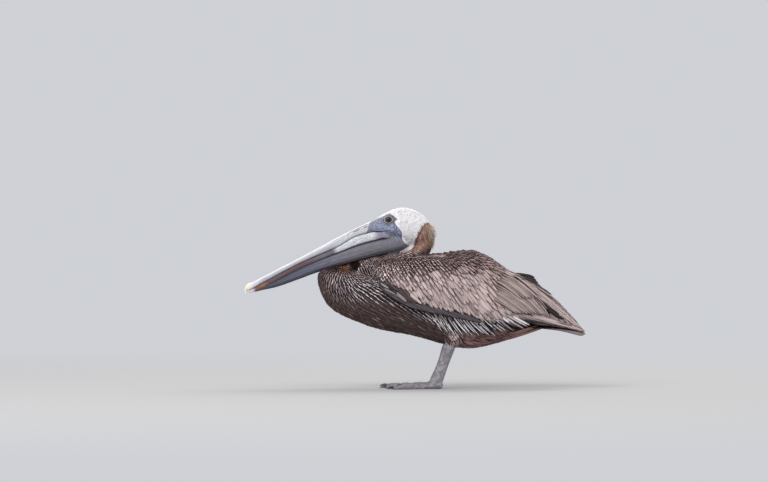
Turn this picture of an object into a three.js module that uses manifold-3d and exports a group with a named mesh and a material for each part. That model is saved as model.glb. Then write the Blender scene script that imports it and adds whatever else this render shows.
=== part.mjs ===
// A life-size brown pelican, standing with its neck drawn in and its bill laid forward over the breast.
// Millimetres, +Z up. The bird faces -X, its left side is -Y, and it stands on the plane Z = 0.
// The origin is on the floor under the middle of the bird's length.
//
// Each form is a loft: a rounded section that follows a few named lines. Where two forms meet, the later one
// is cut back from the earlier with a thin gap, so that every piece is a separate closed solid.

import * as THREE from "three";
import { LoftGeometry } from "three/addons/geometries/LoftGeometry.js";
import { mergeVertices } from "three/addons/utils/BufferGeometryUtils.js";
import Module from "manifold-3d";

const wasm = await Module();
wasm.setup();

// ---------------------------------------------------------------- driving dimensions

const GAP = 0.45; // between neighbouring solids
const FACET = 0.12; // how far a finished surface may leave its exact form, to keep few triangles
const HALF_LENGTH = 341; // from the middle of the bird to the hook of the bill, and to the tip of the tail
const CROWN_Z = 362; // top of the head
const BREAST_X = -196; // front of the breast
const HEEL = { x: 69, y: 48, z: 86 }; // ankle joint of a leg
const FOOT = { x: 37, y: 51, z: 9 }; // where the toes of a foot spring from
const EYE = { x: -53, y: 20.4, z: 336.5, radius: 7.6 };
const FLOOR_FLAT = 0; // level of the soles

const FEATHER_BROWN = 0x6f5a58;
const FEATHER_SILVER = 0x9a8988;
const FEATHER_WHITE = 0xe6e4ea;
const NAPE_RUST = 0x7d5a4a;
const BILL_HORN = 0xb9bac2;
const NAIL_HORN = 0xd9d3b4;
const POUCH_GREY = 0x62606d;
const LEG_GREY = 0x87838a;
const CLAW_GREY = 0x55525a;
const EYE_DARK = 0x1c1412;

// ---------------------------------------------------------------- lines

// A smooth line through [place, value] pairs: cubic, with each inner slope taken from its two neighbours.
function line(...points) {
  const last = points.length - 1;
  const chord = (i, j) => (points[j][1] - points[i][1]) / (points[j][0] - points[i][0]);
  const slope = points.map((_, i) => chord(Math.max(i - 1, 0), Math.min(i + 1, last)));
  return (place) => {
    let i = 0;
    while (i < last - 1 && place > points[i + 1][0]) i += 1;
    const width = points[i + 1][0] - points[i][0];
    const t = THREE.MathUtils.clamp((place - points[i][0]) / width, 0, 1);
    const start = points[i][1] * (1 + 2 * t) * (1 - t) ** 2 + slope[i] * width * t * (1 - t) ** 2;
    const end = points[i + 1][1] * t * t * (3 - 2 * t) - slope[i + 1] * width * t * t * (1 - t);
    return start + end;
  };
}

// Near 0 at an end, rising as a quarter circle to 1 at the distance cap from it. A cap of 0 is a flat end.
function rounded(distance, cap) {
  if (!cap) return 1;
  const short = 1 - Math.min(1, distance / cap);
  return Math.max(0.03, Math.sqrt(1 - short * short));
}

// Unit points of a superellipse: power 2 is an ellipse, and more is squarer.
function unitRing(sides, power) {
  const bend = (v) => Math.sign(v) * Math.abs(v) ** (2 / power);
  return Array.from({ length: sides }, (_, i) => {
    const angle = (i / sides) * 2 * Math.PI;
    return [bend(Math.cos(angle)), bend(Math.sin(angle))];
  });
}

// ---------------------------------------------------------------- lofts

// A closed solid through rings of points, each ordered to run anticlockwise seen from the far end.
function loft(rings) {
  const middle = (ring) => ring.reduce((sum, p) => sum.add(p), new THREE.Vector3()).divideScalar(ring.length);
  const half = Math.floor(rings.length / 2);
  const ring = rings[half];
  const quarter = Math.floor(ring.length / 4);
  const centre = middle(ring);
  const forward = middle(rings[half + 1]).sub(centre);
  const arm = (point) => point.clone().sub(centre);
  const spin = arm(ring[0]).cross(arm(ring[quarter]));
  const turned = spin.dot(forward) < 0 ? rings.map((each) => [...each].reverse()) : rings;
  return solid(new LoftGeometry(turned, { capStart: true, capEnd: true }));
}

// Sections square to X. Each runs from low(x) to high(x), and is widest, side(x) to either hand, at waist(x).
function bodyLoft(form, grow = 0) {
  const { from, to, high, low, side, noseCap, tailCap, stations, sides, power = 2.1, y = 0 } = form;
  const waist = form.waist ?? ((x) => (high(x) + low(x)) / 2);
  const ring = unitRing(sides, power);
  const sections = [];
  for (let i = 0; i <= stations; i += 1) {
    const x = from + ((to - from) * (1 - Math.cos((Math.PI * i) / stations))) / 2;
    const round = Math.min(rounded(x - from, noseCap), rounded(to - x, tailCap));
    const middle = waist(x);
    const up = (high(x) - middle) * round + grow;
    const down = (middle - low(x)) * round + grow;
    const across = side(x) * round + grow;
    const place = x + grow * ((2 * i) / stations - 1);
    const point = ([c, s]) => new THREE.Vector3(place, y + across * c, middle + (s > 0 ? up : down) * s);
    sections.push(ring.map(point));
  }
  return loft(sections);
}

// Sections square to a path through points {x, y, z, deep, wide}: deep is the half size in the plane of X and
// Z, and wide the one across it.
function pathLoft({ points, stations, sides, startCap = 0, endCap = 0, power = 2 }, grow = 0) {
  const path = new THREE.CatmullRomCurve3(points.map((p) => new THREE.Vector3(p.x, p.y ?? 0, p.z)));
  const last = points.length - 1;
  const deep = line(...points.map((p, i) => [i / last, p.deep]));
  const wide = line(...points.map((p, i) => [i / last, p.wide]));
  const ring = unitRing(sides, power);
  const length = path.getLength();
  const sections = [];
  for (let i = 0; i <= stations; i += 1) {
    const t = i / stations;
    const tangent = path.getTangent(t);
    const up = new THREE.Vector3(-tangent.z, 0, tangent.x).normalize();
    const over = new THREE.Vector3().crossVectors(tangent, up).normalize();
    const round = rounded(t * length, startCap) * rounded((1 - t) * length, endCap);
    const centre = path.getPoint(t).addScaledVector(tangent, grow * (2 * t - 1));
    sections.push(
      ring.map(([c, s]) =>
        centre
          .clone()
          .addScaledVector(over, (wide(t) * round + grow) * c)
          .addScaledVector(up, (deep(t) * round + grow) * s),
      ),
    );
  }
  return loft(sections);
}

// A flat outline of [x, z] points pushed through the bird from side to side.
function sideSlab(outline, from, to) {
  const shape = new THREE.Shape(outline.map(([x, z]) => new THREE.Vector2(x, z)));
  const slab = new THREE.ExtrudeGeometry(shape, { depth: to - from, bevelEnabled: false });
  slab.rotateX(Math.PI / 2).translate(0, to, 0);
  return solid(slab);
}

// A flat outline of [x, y] points raised from one level to another.
function planSlab(outline, from, to) {
  const shape = new THREE.Shape(outline.map(([x, y]) => new THREE.Vector2(x, y)));
  const slab = new THREE.ExtrudeGeometry(shape, { depth: to - from, bevelEnabled: false, curveSegments: 6 });
  slab.translate(0, 0, from);
  return solid(slab);
}

// ---------------------------------------------------------------- solids

// A closed geometry as a manifold-3d solid, turned to face outwards.
function solid(geometry) {
  const plain = new THREE.BufferGeometry().setAttribute("position", geometry.getAttribute("position"));
  plain.setIndex(geometry.index);
  const merged = mergeVertices(plain, 1e-4);
  const whole = [];
  const index = merged.index.array;
  for (let i = 0; i < index.length; i += 3) {
    const [a, b, c] = [index[i], index[i + 1], index[i + 2]];
    if (a !== b && b !== c && c !== a) whole.push([a, b, c]);
  }
  const build = (triangles) =>
    new wasm.Manifold(
      new wasm.Mesh({
        numProp: 3,
        vertProperties: new Float32Array(merged.attributes.position.array),
        triVerts: new Uint32Array(triangles.flat()),
      }),
    );
  const made = build(whole);
  return made.volume() < 0 ? build(whole.map(([a, b, c]) => [a, c, b])) : made;
}

// The largest body of a solid, so that a cut leaves no crumbs.
function largest(made) {
  return made.decompose().reduce((best, each) => (each.volume() > best.volume() ? each : best));
}

function mirrored(made) {
  const geometry = geometryOf(made);
  geometry.scale(1, -1, 1);
  return solid(geometry);
}

function geometryOf(made) {
  const mesh = made.getMesh();
  const places = new Float32Array(mesh.numVert * 3);
  for (let i = 0; i < mesh.numVert; i += 1) {
    places.set(mesh.vertProperties.subarray(i * mesh.numProp, i * mesh.numProp + 3), i * 3);
  }
  const geometry = new THREE.BufferGeometry();
  geometry.setAttribute("position", new THREE.BufferAttribute(places, 3));
  geometry.setIndex(new THREE.BufferAttribute(new Uint32Array(mesh.triVerts), 1));
  return geometry;
}

const pelican = new THREE.Group();
pelican.name = "brown_pelican";

function add(name, made, color, roughness = 0.8) {
  const geometry = geometryOf(largest(largest(made).simplify(FACET)));
  geometry.computeVertexNormals();
  const mesh = new THREE.Mesh(geometry, new THREE.MeshStandardMaterial({ color, roughness, metalness: 0 }));
  mesh.name = name;
  pelican.add(mesh);
}

// ---------------------------------------------------------------- bill

// The line of the mouth, from the gape to the tip of the bill.
const mouth = line([-332, 195.5], [-230, 249], [-158, 280], [-119, 302.5], [-80, 311.5], [-44, 313.5]);
// The line where the pouch hangs from the lower jaw.
const pouchEdge = line(
  [-332, 189], [-301, 202.5], [-230, 239.5], [-154, 271], [-102, 290], [-44, 301.5], [-9, 294],
);

const MAXILLA = {
  from: -338.5,
  to: -82.5,
  high: line([-338, 204], [-323, 212], [-214, 268.5], [-150, 303], [-92, 331.5], [-82.5, 335.8]),
  low: (x) => mouth(x) + GAP,
  side: line([-338, 6.5], [-320, 11.5], [-290, 12.8], [-230, 13], [-160, 15.5], [-119, 18], [-82.5, 20.5]),
  noseCap: 10,
  tailCap: 0,
  stations: 11,
  sides: 12,
  power: 2.2,
};

const MANDIBLE = {
  from: -332,
  to: -44,
  high: mouth,
  low: (x) => pouchEdge(x) + GAP,
  side: line([-332, 6], [-301, 11], [-230, 13.5], [-154, 18], [-102, 22], [-44, 25]),
  noseCap: 8,
  tailCap: 10,
  stations: 11,
  sides: 10,
  power: 2.6,
};

const POUCH = {
  from: -322,
  to: -8,
  high: pouchEdge,
  low: line(
    [-322, 190.5], [-309, 195], [-276, 202.5], [-229, 219], [-195, 231.5],
    [-140, 247], [-80, 262], [-34, 271.5], [-8, 283],
  ),
  side: line([-322, 7], [-301, 10], [-230, 14.5], [-154, 20], [-100, 26], [-60, 29], [-30, 28], [-8, 20]),
  noseCap: 14,
  tailCap: 16,
  stations: 12,
  sides: 12,
};

const NAIL = {
  points: [
    { x: -322, z: 207.5, deep: 3.6, wide: 6.2 },
    { x: -333, z: 204.5, deep: 4.2, wide: 5.8 },
    { x: 3.2 - HALF_LENGTH, z: 197, deep: 3, wide: 3.8 },
    { x: -337, z: 187, deep: 1, wide: 1.2 },
  ],
  stations: 6,
  sides: 8,
};

// ---------------------------------------------------------------- head

const HEAD = {
  from: -82,
  to: 40,
  high: line([-82, 336.3], [-60, 350.5], [-40, 359], [-20, CROWN_Z], [0, 356], [20, 343], [40, 322]),
  low: line([-82, 303], [-60, 301], [-30, 293], [-8, 281], [6, 278], [22, 284], [40, 296]),
  side: line([-82, 21.2], [-60, 26.5], [-40, 31], [-18, 34], [4, 34], [24, 30], [40, 24]),
  waist: line([-82, 319], [-60, 320], [-20, 318], [40, 308]),
  noseCap: 0,
  tailCap: 20,
  stations: 11,
  sides: 16,
  power: 2.15,
};

// ---------------------------------------------------------------- neck

const NECK_UPPER = {
  points: [
    { x: 2, z: 326, deep: 20, wide: 22 },
    { x: 13, z: 305, deep: 23, wide: 24 },
    { x: 10, z: 281, deep: 24, wide: 25 },
    { x: -12, z: 260, deep: 24, wide: 26 },
  ],
  stations: 6,
  sides: 14,
  startCap: 12,
};

const NECK_MIDDLE = {
  points: [
    { x: -12.6, z: 259.7, deep: 24, wide: 26 },
    { x: -55, z: 245, deep: 25, wide: 28 },
    { x: -100, z: 236, deep: 27, wide: 31 },
    { x: -140, z: 216, deep: 30, wide: 36 },
  ],
  stations: 6,
  sides: 14,
  endCap: 14,
};

// ---------------------------------------------------------------- trunk and breast

const BODY = {
  from: BREAST_X,
  to: 238,
  high: line(
    [-196, 236], [-165, 241], [-120, 236], [-80, 226], [-30, 229], [20, 248],
    [60, 266], [100, 275], [140, 264], [180, 238], [238, 204],
  ),
  low: line(
    [-196, 200], [-190, 186], [-178, 168], [-160, 152], [-134, 139], [-77, 117.5],
    [-2, 103.5], [55, 87], [105, 77], [149, 84.5], [200, 100], [238, 116],
  ),
  side: line(
    [-196, 38], [-180, 49], [-150, 62], [-110, 72], [-60, 81], [0, 88],
    [60, 88], [110, 76], [150, 61], [190, 42], [238, 22],
  ),
  waist: line([-196, 216], [-150, 196], [-100, 178], [0, 168], [100, 164], [200, 142], [238, 140]),
  noseCap: 17,
  tailCap: 26,
  stations: 22,
  sides: 24,
  power: 2.15,
};

// The breast is the lowest bend of the neck. It parts from the trunk along a line that leans back.
const BREAST_CUT = [
  [-122, 270],
  [-96, 90],
];

// ---------------------------------------------------------------- wings and tail

const WING_BODY = {
  from: -99,
  to: HALF_LENGTH,
  high: line(
    [-99, 258], [-60, 267], [0, 275.5], [60, 278.5], [107, 281], [140, 271.5],
    [163, 254.5], [196, 233], [243, 214], [291, 169.5], [341, 114],
  ),
  low: line(
    [-99, 150], [-60, 112], [0, 94], [60, 80], [130, 74], [200, 92],
    [238, 112], [281, 118], [341, 108],
  ),
  side: line(
    [-99, 68], [-60, 95], [-10, 106], [50, 107], [107, 98], [160, 83],
    [210, 66], [260, 49], [300, 34], [341, 14],
  ),
  waist: line([-99, 214], [0, 186], [100, 176], [200, 148], [260, 138], [341, 111]),
  noseCap: 26,
  tailCap: 22,
  stations: 22,
  sides: 28,
  power: 2.25,
};

// Lower edge of the folded wing, from the shoulder to the wing tip.
const wingEdge = line(
  [-110, 250], [-72, 214], [-46, 198], [-20, 177], [20, 163],
  [70, 147], [130, 133], [200, 128], [260, 125], [345, 109],
);
// Inner edge of the folded wing: the two leave room for the neck and meet over the rump.
const innerLine = line([-110, 45], [20, 45], [64, 36], [108, 12], [140, 0]);
const wingInner = (x) => Math.max(innerLine(x), GAP);
// The covert feathers end and the long quills begin along this line.
const QUILL_CUT = [
  [168, 320],
  [206, 90],
];

const TAIL = {
  from: 200,
  to: HALF_LENGTH - 2,
  high: line([200, 124], [240, 121.5], [281, 121.5], [341, 109]),
  low: line([200, 106], [240, 114.5], [281, 117.5], [341, 105.5]),
  side: line([200, 24], [250, 38], [300, 50], [341, 58]),
  noseCap: 6,
  tailCap: 26,
  stations: 8,
  sides: 14,
  power: 3,
};

// ---------------------------------------------------------------- legs

const THIGH = {
  points: [
    { x: 96, y: -54, z: 152, deep: 30, wide: 24 },
    { x: 84, y: -51, z: 118, deep: 24, wide: 20 },
    { x: HEEL.x + 4, y: -HEEL.y, z: HEEL.z + 9, deep: 14, wide: 11 },
    { x: HEEL.x, y: -HEEL.y, z: HEEL.z, deep: 11.5, wide: 9 },
  ],
  stations: 6,
  sides: 12,
  startCap: 14,
};

const SHANK = {
  points: [
    { x: HEEL.x - 0.3, y: -HEEL.y, z: HEEL.z - GAP, deep: 11.4, wide: 9 },
    { x: 65, y: -48.2, z: 75, deep: 12, wide: 8.8 },
    { x: 57, y: -49, z: 51, deep: 11, wide: 6.4 },
    { x: 48.5, y: -50, z: 29, deep: 11.2, wide: 6.8 },
    { x: FOOT.x + 4, y: -FOOT.y, z: FOOT.z + 2, deep: 12, wide: 9.5 },
  ],
  stations: 8,
  sides: 10,
  endCap: 6,
};

// Toes of the left foot: turn is the angle from straight ahead, positive towards the middle of the bird.
const TOES = [
  { name: "outer", turn: -27, length: 92, base: 5.6, tip: 3.8 },
  { name: "middle", turn: -4, length: 96, base: 6, tip: 4 },
  { name: "inner", turn: 20, length: 70, base: 5.6, tip: 3.8 },
  { name: "hind", turn: 68, length: 40, base: 5, tip: 3.4 },
];
const CLAW_LENGTH = 12;
const WEB = { from: 1, to: 3.6, dip: 0.2 }; // dip: how far the edge of the web curves in between two toes

// A point of a toe at a distance from where the toes spring, as [x, y].
function along(toe, distance) {
  const angle = THREE.MathUtils.degToRad(toe.turn);
  return [FOOT.x - distance * Math.cos(angle), -FOOT.y + distance * Math.sin(angle)];
}

// A toe swells at its two joints and lies with its sole on the floor.
function toeSolid(toe) {
  const joints = [0, 0.2, 0.42, 0.62, 0.8, 1];
  const swell = [1.05, 0.86, 1.08, 0.86, 1.04, 1];
  const points = joints.map((share, i) => {
    const radius = THREE.MathUtils.lerp(toe.base, toe.tip, share) * swell[i];
    const [x, y] = along(toe, toe.length * share);
    return { x, y, z: radius * 0.8, deep: radius, wide: radius * 1.02 };
  });
  return pathLoft({ points, stations: 7, sides: 6, startCap: 3, endCap: 3 });
}

// The web joins all four toes. Its front edge dips between each two.
function webSolid() {
  const outline = [[FOOT.x + 10, -FOOT.y - 4]];
  TOES.forEach((toe, i) => {
    outline.push(along(toe, toe.length));
    const next = TOES[i + 1];
    if (!next) return;
    const a = along(toe, toe.length);
    const b = along(next, next.length);
    for (const share of [0.25, 0.5, 0.75]) {
      const dip = 1 - 4 * WEB.dip * share * (1 - share);
      const edge = [0, 1].map((k) => THREE.MathUtils.lerp(a[k], b[k], share));
      outline.push([FOOT.x + (edge[0] - FOOT.x) * dip, -FOOT.y + (edge[1] + FOOT.y) * dip]);
    }
  });
  outline.push([FOOT.x + 8, -FOOT.y + 8]);
  return planSlab(outline.reverse(), WEB.from, WEB.to);
}

// The pad under the ankle end of the foot, where the toes meet.
const PAD = {
  from: FOOT.x - 16,
  to: FOOT.x + 19.5,
  high: line([FOOT.x - 16, 10], [FOOT.x, 13], [FOOT.x + 19.5, 8]),
  low: () => -4,
  side: line([FOOT.x - 16, 11], [FOOT.x, 11], [FOOT.x + 19.5, 8]),
  noseCap: 8,
  tailCap: 6,
  stations: 6,
  sides: 10,
  y: -FOOT.y,
};

function footSolid() {
  const above = sideSlab(
    [
      [-150, FLOOR_FLAT],
      [150, FLOOR_FLAT],
      [150, 60],
      [-150, 60],
    ],
    -150,
    0,
  );
  const joined = TOES.reduce((foot, toe) => foot.add(toeSolid(toe)), webSolid().add(bodyLoft(PAD)));
  return joined.intersect(above);
}

function clawSolid(toe, grow = 0) {
  const points = [
    [-3, 0.9, 2.7],
    [3, 1.05, 2.5],
    [8, 0.9, 1.6],
    [CLAW_LENGTH, 0.28, 0.6],
  ].map(([past, lift, radius]) => {
    const [x, y] = along(toe, toe.length + past);
    return { x, y, z: toe.tip * lift + 0.6, deep: radius, wide: radius };
  });
  return pathLoft({ points, stations: 4, sides: 6 }, grow);
}

// ---------------------------------------------------------------- assembly

// Everything placed so far, grown by the gap: the next solid is cut back from it.
let taken = null;
function take(grown) {
  taken = taken ? taken.add(grown) : grown;
}

function addBill() {
  const nail = pathLoft(NAIL);
  add("bill_nail", nail, NAIL_HORN, 0.4);
  take(pathLoft(NAIL, GAP));
  add("bill_upper", bodyLoft(MAXILLA).subtract(taken), BILL_HORN, 0.45);
  take(bodyLoft(MAXILLA, GAP));
  add("bill_lower", bodyLoft(MANDIBLE).subtract(taken), BILL_HORN, 0.5);
  take(bodyLoft(MANDIBLE, GAP));
  add("pouch", bodyLoft(POUCH).subtract(taken), POUCH_GREY, 0.6);
  take(bodyLoft(POUCH, GAP));
}

function addEyes() {
  for (const [name, hand] of [
    ["eye_left", -1],
    ["eye_right", 1],
  ]) {
    const ball = (radius) => new THREE.SphereGeometry(radius, 12, 8).translate(EYE.x, hand * EYE.y, EYE.z);
    add(name, solid(ball(EYE.radius)), EYE_DARK, 0.1);
    take(solid(ball(EYE.radius + GAP)));
  }
}

function addHeadAndNeck() {
  add("head", bodyLoft(HEAD).subtract(taken), FEATHER_WHITE);
  take(bodyLoft(HEAD, GAP));
  add("neck_upper", pathLoft(NECK_UPPER).subtract(taken), NAPE_RUST);
  take(pathLoft(NECK_UPPER, GAP));
  add("neck_middle", pathLoft(NECK_MIDDLE).subtract(taken), FEATHER_BROWN);
  take(pathLoft(NECK_MIDDLE, GAP));
}

// The breast and the trunk are one form, parted by a thin cut.
function addTrunk() {
  const [[topX, topZ], [lowX, lowZ]] = BREAST_CUT;
  const ahead = (shift) =>
    sideSlab(
      [
        [-260, lowZ - 40],
        [lowX + shift + ((lowX - topX) * 40) / (topZ - lowZ), lowZ - 40],
        [topX + shift, topZ],
        [-260, topZ],
      ],
      -200,
      200,
    );
  const whole = bodyLoft(BODY).subtract(taken);
  add("neck_lower", whole.intersect(ahead(0)), FEATHER_BROWN);
  add("trunk", whole.subtract(ahead(GAP)), FEATHER_BROWN);
  take(bodyLoft(BODY, GAP));
}

// Adds a left solid and its mirror image, each cut back from what is there already.
function addPair(stem, left, color, roughness) {
  add(`${stem}_left`, left.subtract(taken), color, roughness);
  add(`${stem}_right`, mirrored(left).subtract(taken), color, roughness);
}

function takePair(grown) {
  take(grown.add(mirrored(grown)));
}

function addLegs() {
  addPair("thigh", pathLoft(THIGH), FEATHER_BROWN);
  takePair(pathLoft(THIGH, GAP));
  addPair("shank", pathLoft(SHANK), LEG_GREY, 0.6);
  takePair(pathLoft(SHANK, GAP));
  for (const toe of TOES) {
    addPair(`claw_${toe.name}`, clawSolid(toe), CLAW_GREY, 0.4);
    takePair(clawSolid(toe, GAP));
  }
  addPair("foot", footSolid(), LEG_GREY, 0.6);
}

function addWings() {
  const steps = Array.from({ length: 18 }, (_, i) => -110 + (i * 455) / 17);
  const aboveEdge = sideSlab([...steps.map((x) => [x, wingEdge(x)]), [345, 330], [-110, 330]], -150, 150);
  const innerSide = steps.map((x) => [x, -wingInner(x)]).reverse();
  const outside = planSlab([...innerSide, [-110, -150], [345, -150]], 60, 330);
  const whole = bodyLoft(WING_BODY).intersect(aboveEdge).intersect(outside);
  const [[topX, topZ], [lowX, lowZ]] = QUILL_CUT;
  const ahead = (shift) =>
    sideSlab(
      [
        [-150, lowZ],
        [lowX + shift, lowZ],
        [topX + shift, topZ],
        [-150, topZ],
      ],
      -200,
      200,
    );
  addPair("wing", whole.intersect(ahead(0)), FEATHER_SILVER);
  addPair("wing_quills", whole.subtract(ahead(GAP)), FEATHER_SILVER);
}

function addTail() {
  const wings = bodyLoft(WING_BODY, GAP);
  const underWings = sideSlab(
    [
      [150, 60],
      [345, 60],
      ...Array.from({ length: 12 }, (_, i) => 345 - (i * 195) / 11).map((x) => [x, wingEdge(x) - GAP]),
    ],
    -150,
    150,
  );
  const clear = wings.subtract(underWings);
  add("tail", bodyLoft(TAIL).subtract(taken).subtract(clear), FEATHER_BROWN);
}

addBill();
addEyes();
addHeadAndNeck();
addTrunk();
addLegs();
addWings();
addTail();

export default pelican;
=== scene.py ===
"""A life-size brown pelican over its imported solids: skin, plumage, bill, eyes, legs and stage.

The file is laid out as an add-on and is run as a script. Shapes are worked out in millimetres in the part's
own frame, where the bird faces -X, its left side is -Y and the floor is Z = 0, and meshes are made in metres.
"""

from typing import NamedTuple

import bmesh
import bpy
import numpy as np
from bpy.props import FloatProperty, FloatVectorProperty, IntProperty, PointerProperty
from bpy.types import Operator, Panel, PropertyGroup
from mathutils import Matrix, Vector
from mathutils.bvhtree import BVHTree


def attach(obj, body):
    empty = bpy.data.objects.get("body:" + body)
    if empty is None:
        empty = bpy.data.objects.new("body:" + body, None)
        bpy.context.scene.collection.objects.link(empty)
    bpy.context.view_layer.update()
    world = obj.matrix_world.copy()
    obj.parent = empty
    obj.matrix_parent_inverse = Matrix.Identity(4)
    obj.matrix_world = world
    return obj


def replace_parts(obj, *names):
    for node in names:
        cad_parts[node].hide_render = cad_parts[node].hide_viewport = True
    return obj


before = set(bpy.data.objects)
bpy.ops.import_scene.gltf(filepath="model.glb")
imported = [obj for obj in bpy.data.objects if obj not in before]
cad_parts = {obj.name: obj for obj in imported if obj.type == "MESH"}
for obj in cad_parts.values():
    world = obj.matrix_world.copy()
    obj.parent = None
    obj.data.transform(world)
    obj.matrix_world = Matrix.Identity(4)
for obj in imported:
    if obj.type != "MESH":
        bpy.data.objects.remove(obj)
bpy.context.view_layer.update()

bl_info = {
    "name": "Brown Pelican",
    "version": (1, 0, 0),
    "blender": (4, 5, 0),
    "location": "View3D > Sidebar > Pelican",
    "description": "Builds the skin, plumage, bill, eyes, legs and stage of a life-size brown pelican",
    "category": "Add Mesh",
}

# A millimetre in metres, the two sides of the bird by the sign of Y, and the way across it.
MM = 0.001
SIDES = ((-1, "left"), (1, "right"))
ACROSS = np.array([0.0, 1, 0])

# ---- colours (linear)

# head and nape
WHITE = (0.86, 0.85, 0.87)
WHITE_SHADE = (0.62, 0.6, 0.63)
CREAM = (0.72, 0.63, 0.54)
NAPE = (0.47, 0.28, 0.225)
NAPE_DARK = (0.085, 0.05, 0.045)
NAPE_GOLD = (0.4, 0.255, 0.175)
CROWN_FLECK = (0.16, 0.14, 0.15)
# breast, belly and vent
RUST = (0.225, 0.118, 0.088)
FORE = (0.1, 0.06, 0.058)
# painted shadow: the hollow under the pouch, near black
HOLLOW_SHADOW = (0.016, 0.006, 0.006)
BELLY = (0.098, 0.064, 0.06)
BELLY_FLECK = (0.2, 0.145, 0.14)
BELLY_DARK = (0.048, 0.034, 0.034)
VENT = (0.245, 0.142, 0.128)
STREAK = (0.68, 0.62, 0.635)
STREAK_DIM = (0.28, 0.225, 0.23)
# flank
FLANK_WHITE = (0.84, 0.8, 0.83)
FLANK_DIM = (0.58, 0.53, 0.56)
FLANK_DARK = (0.05, 0.033, 0.036)
# back and shoulder
BACK_PALE = (0.6, 0.475, 0.465)
BACK_WARM = (0.5, 0.36, 0.33)
BACK_DARK = (0.06, 0.036, 0.036)
SHOULDER_PALE = (0.74, 0.6, 0.59)
SHOULDER_DARK = (0.11, 0.074, 0.074)
HUMP = (0.24, 0.165, 0.155)
HUMP_PALE = (0.35, 0.265, 0.255)
RUMP = (0.44, 0.31, 0.285)
# wing and tail
SILVER = (0.455, 0.365, 0.358)
SILVER_PALE = (0.52, 0.42, 0.41)
SILVER_EDGE = (0.33, 0.25, 0.245)
PINK_EDGE = (0.56, 0.43, 0.4)
TERTIAL = (0.34, 0.272, 0.26)
UMBER = (0.08, 0.056, 0.052)
BAND = (0.09, 0.075, 0.086)
ALULA = (0.105, 0.088, 0.097)
ALULA_PALE = (0.37, 0.32, 0.325)
QUILL = (0.125, 0.093, 0.095)
QUILL_BRIGHT = (0.56, 0.455, 0.45)
QUILL_PALE = (0.42, 0.335, 0.33)
TAIL_TONE = (0.165, 0.13, 0.13)
# the darkest parts of feathers
DARK = (0.034, 0.022, 0.025)
INK = (0.028, 0.021, 0.024)
BLACK = (0.012, 0.009, 0.01)
SHAFT = (0.06, 0.042, 0.042)
# bare face
FACE = (0.14, 0.158, 0.238)
FACE_BRIGHT = (0.215, 0.245, 0.375)
FACE_DEEP = (0.07, 0.078, 0.12)
FACE_PALE = (0.42, 0.46, 0.6)
LORE = (0.185, 0.195, 0.24)
LID = (0.36, 0.31, 0.34)
LID_DARK = (0.06, 0.05, 0.062)
# painted shadow in the slit of the gape and the groove under the lower bill
GAPE_SHADOW = (0.02, 0.017, 0.024)
# eye
PUPIL = (0.003, 0.003, 0.004)
EYE_RIM = (0.012, 0.009, 0.01)
# bill
# the culmen's own pale horn, with a painted highlight along the top of the ridge
CULMEN_PALE_AND_HIGHLIGHT = (0.84, 0.84, 0.87)
PLATE = (0.56, 0.57, 0.61)
CULMEN_LINE = (0.17, 0.175, 0.22)
# the cutting edge's own grey, with painted shade on the bill's lower side and along the gap of the mouth
TOMIUM_AND_SHADE = (0.34, 0.34, 0.39)
TIP_GREY = (0.5, 0.48, 0.56)
ORANGE = (0.225, 0.095, 0.055)
MAROON = (0.092, 0.048, 0.056)
RAMUS_DARK = (0.105, 0.092, 0.118)
RAMUS_WHITE = (0.54, 0.575, 0.6)
RAMUS_REAR = (0.25, 0.235, 0.3)
RAMUS_FLECK = (0.19, 0.2, 0.21)
# a painted highlight along the raised lower edge of the lower bill
RAMUS_EDGE_HIGHLIGHT = (0.34, 0.31, 0.37)
NAIL_CREAM = (0.74, 0.68, 0.5)
NAIL_TIP = (0.8, 0.78, 0.6)
# pouch
POUCH_BLUE = (0.062, 0.067, 0.104)
POUCH_GREY = (0.138, 0.133, 0.158)
POUCH_PALE = (0.15, 0.158, 0.21)
POUCH_GREEN = (0.06, 0.072, 0.07)
# legs
LEG = (0.345, 0.318, 0.36)
LEG_SEAM = (0.14, 0.127, 0.145)
# stage
SKY = (0.96, 0.97, 1)
BACKDROP = (0.62, 0.635, 0.67)

# ---- lines


def line(*points):
    """Smooth line through (place, value) pairs: cubic, each inner slope taken from its two neighbours."""
    place, value = np.array(points, float).T
    slope = np.gradient(value, place)
    slope[1:-1] = (value[2:] - value[:-2]) / (place[2:] - place[:-2])

    def at(x):
        x = np.clip(np.asarray(x, float), place[0], place[-1])
        i = np.clip(np.searchsorted(place, x, side="right") - 1, 0, len(place) - 2)
        width = place[i + 1] - place[i]
        t = (x - place[i]) / width
        start = value[i] * (1 + 2 * t) * (1 - t) ** 2 + slope[i] * width * t * (1 - t) ** 2
        return start + value[i + 1] * t * t * (3 - 2 * t) - slope[i + 1] * width * t * t * (1 - t)

    return at


def smooth(low, high, x):
    """0 below low, 1 above high, and a smooth step between."""
    t = np.clip((np.asarray(x, float) - low) / (high - low), 0, 1)
    return t * t * (3 - 2 * t)


def unit(v):
    """Vectors of length 1 that point the same way."""
    return v / np.maximum(np.linalg.norm(v, axis=-1, keepdims=True), 1e-9)


def mix(a, b, share):
    """a (1 - share) + b share, for colours."""
    share = np.asarray(share)[..., None]
    return np.asarray(a) * (1 - share) + np.asarray(b) * share


# Lower and inner edge of the folded wing, as in the solids.
WING_EDGE = line((-110, 250), (-72, 214), (-46, 198), (-20, 177), (20, 163), (70, 147), (130, 133),
                 (200, 128), (260, 125), (345, 109))
WING_INNER = line((-110, 45), (20, 45), (64, 36), (108, 12), (140, 0))
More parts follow.
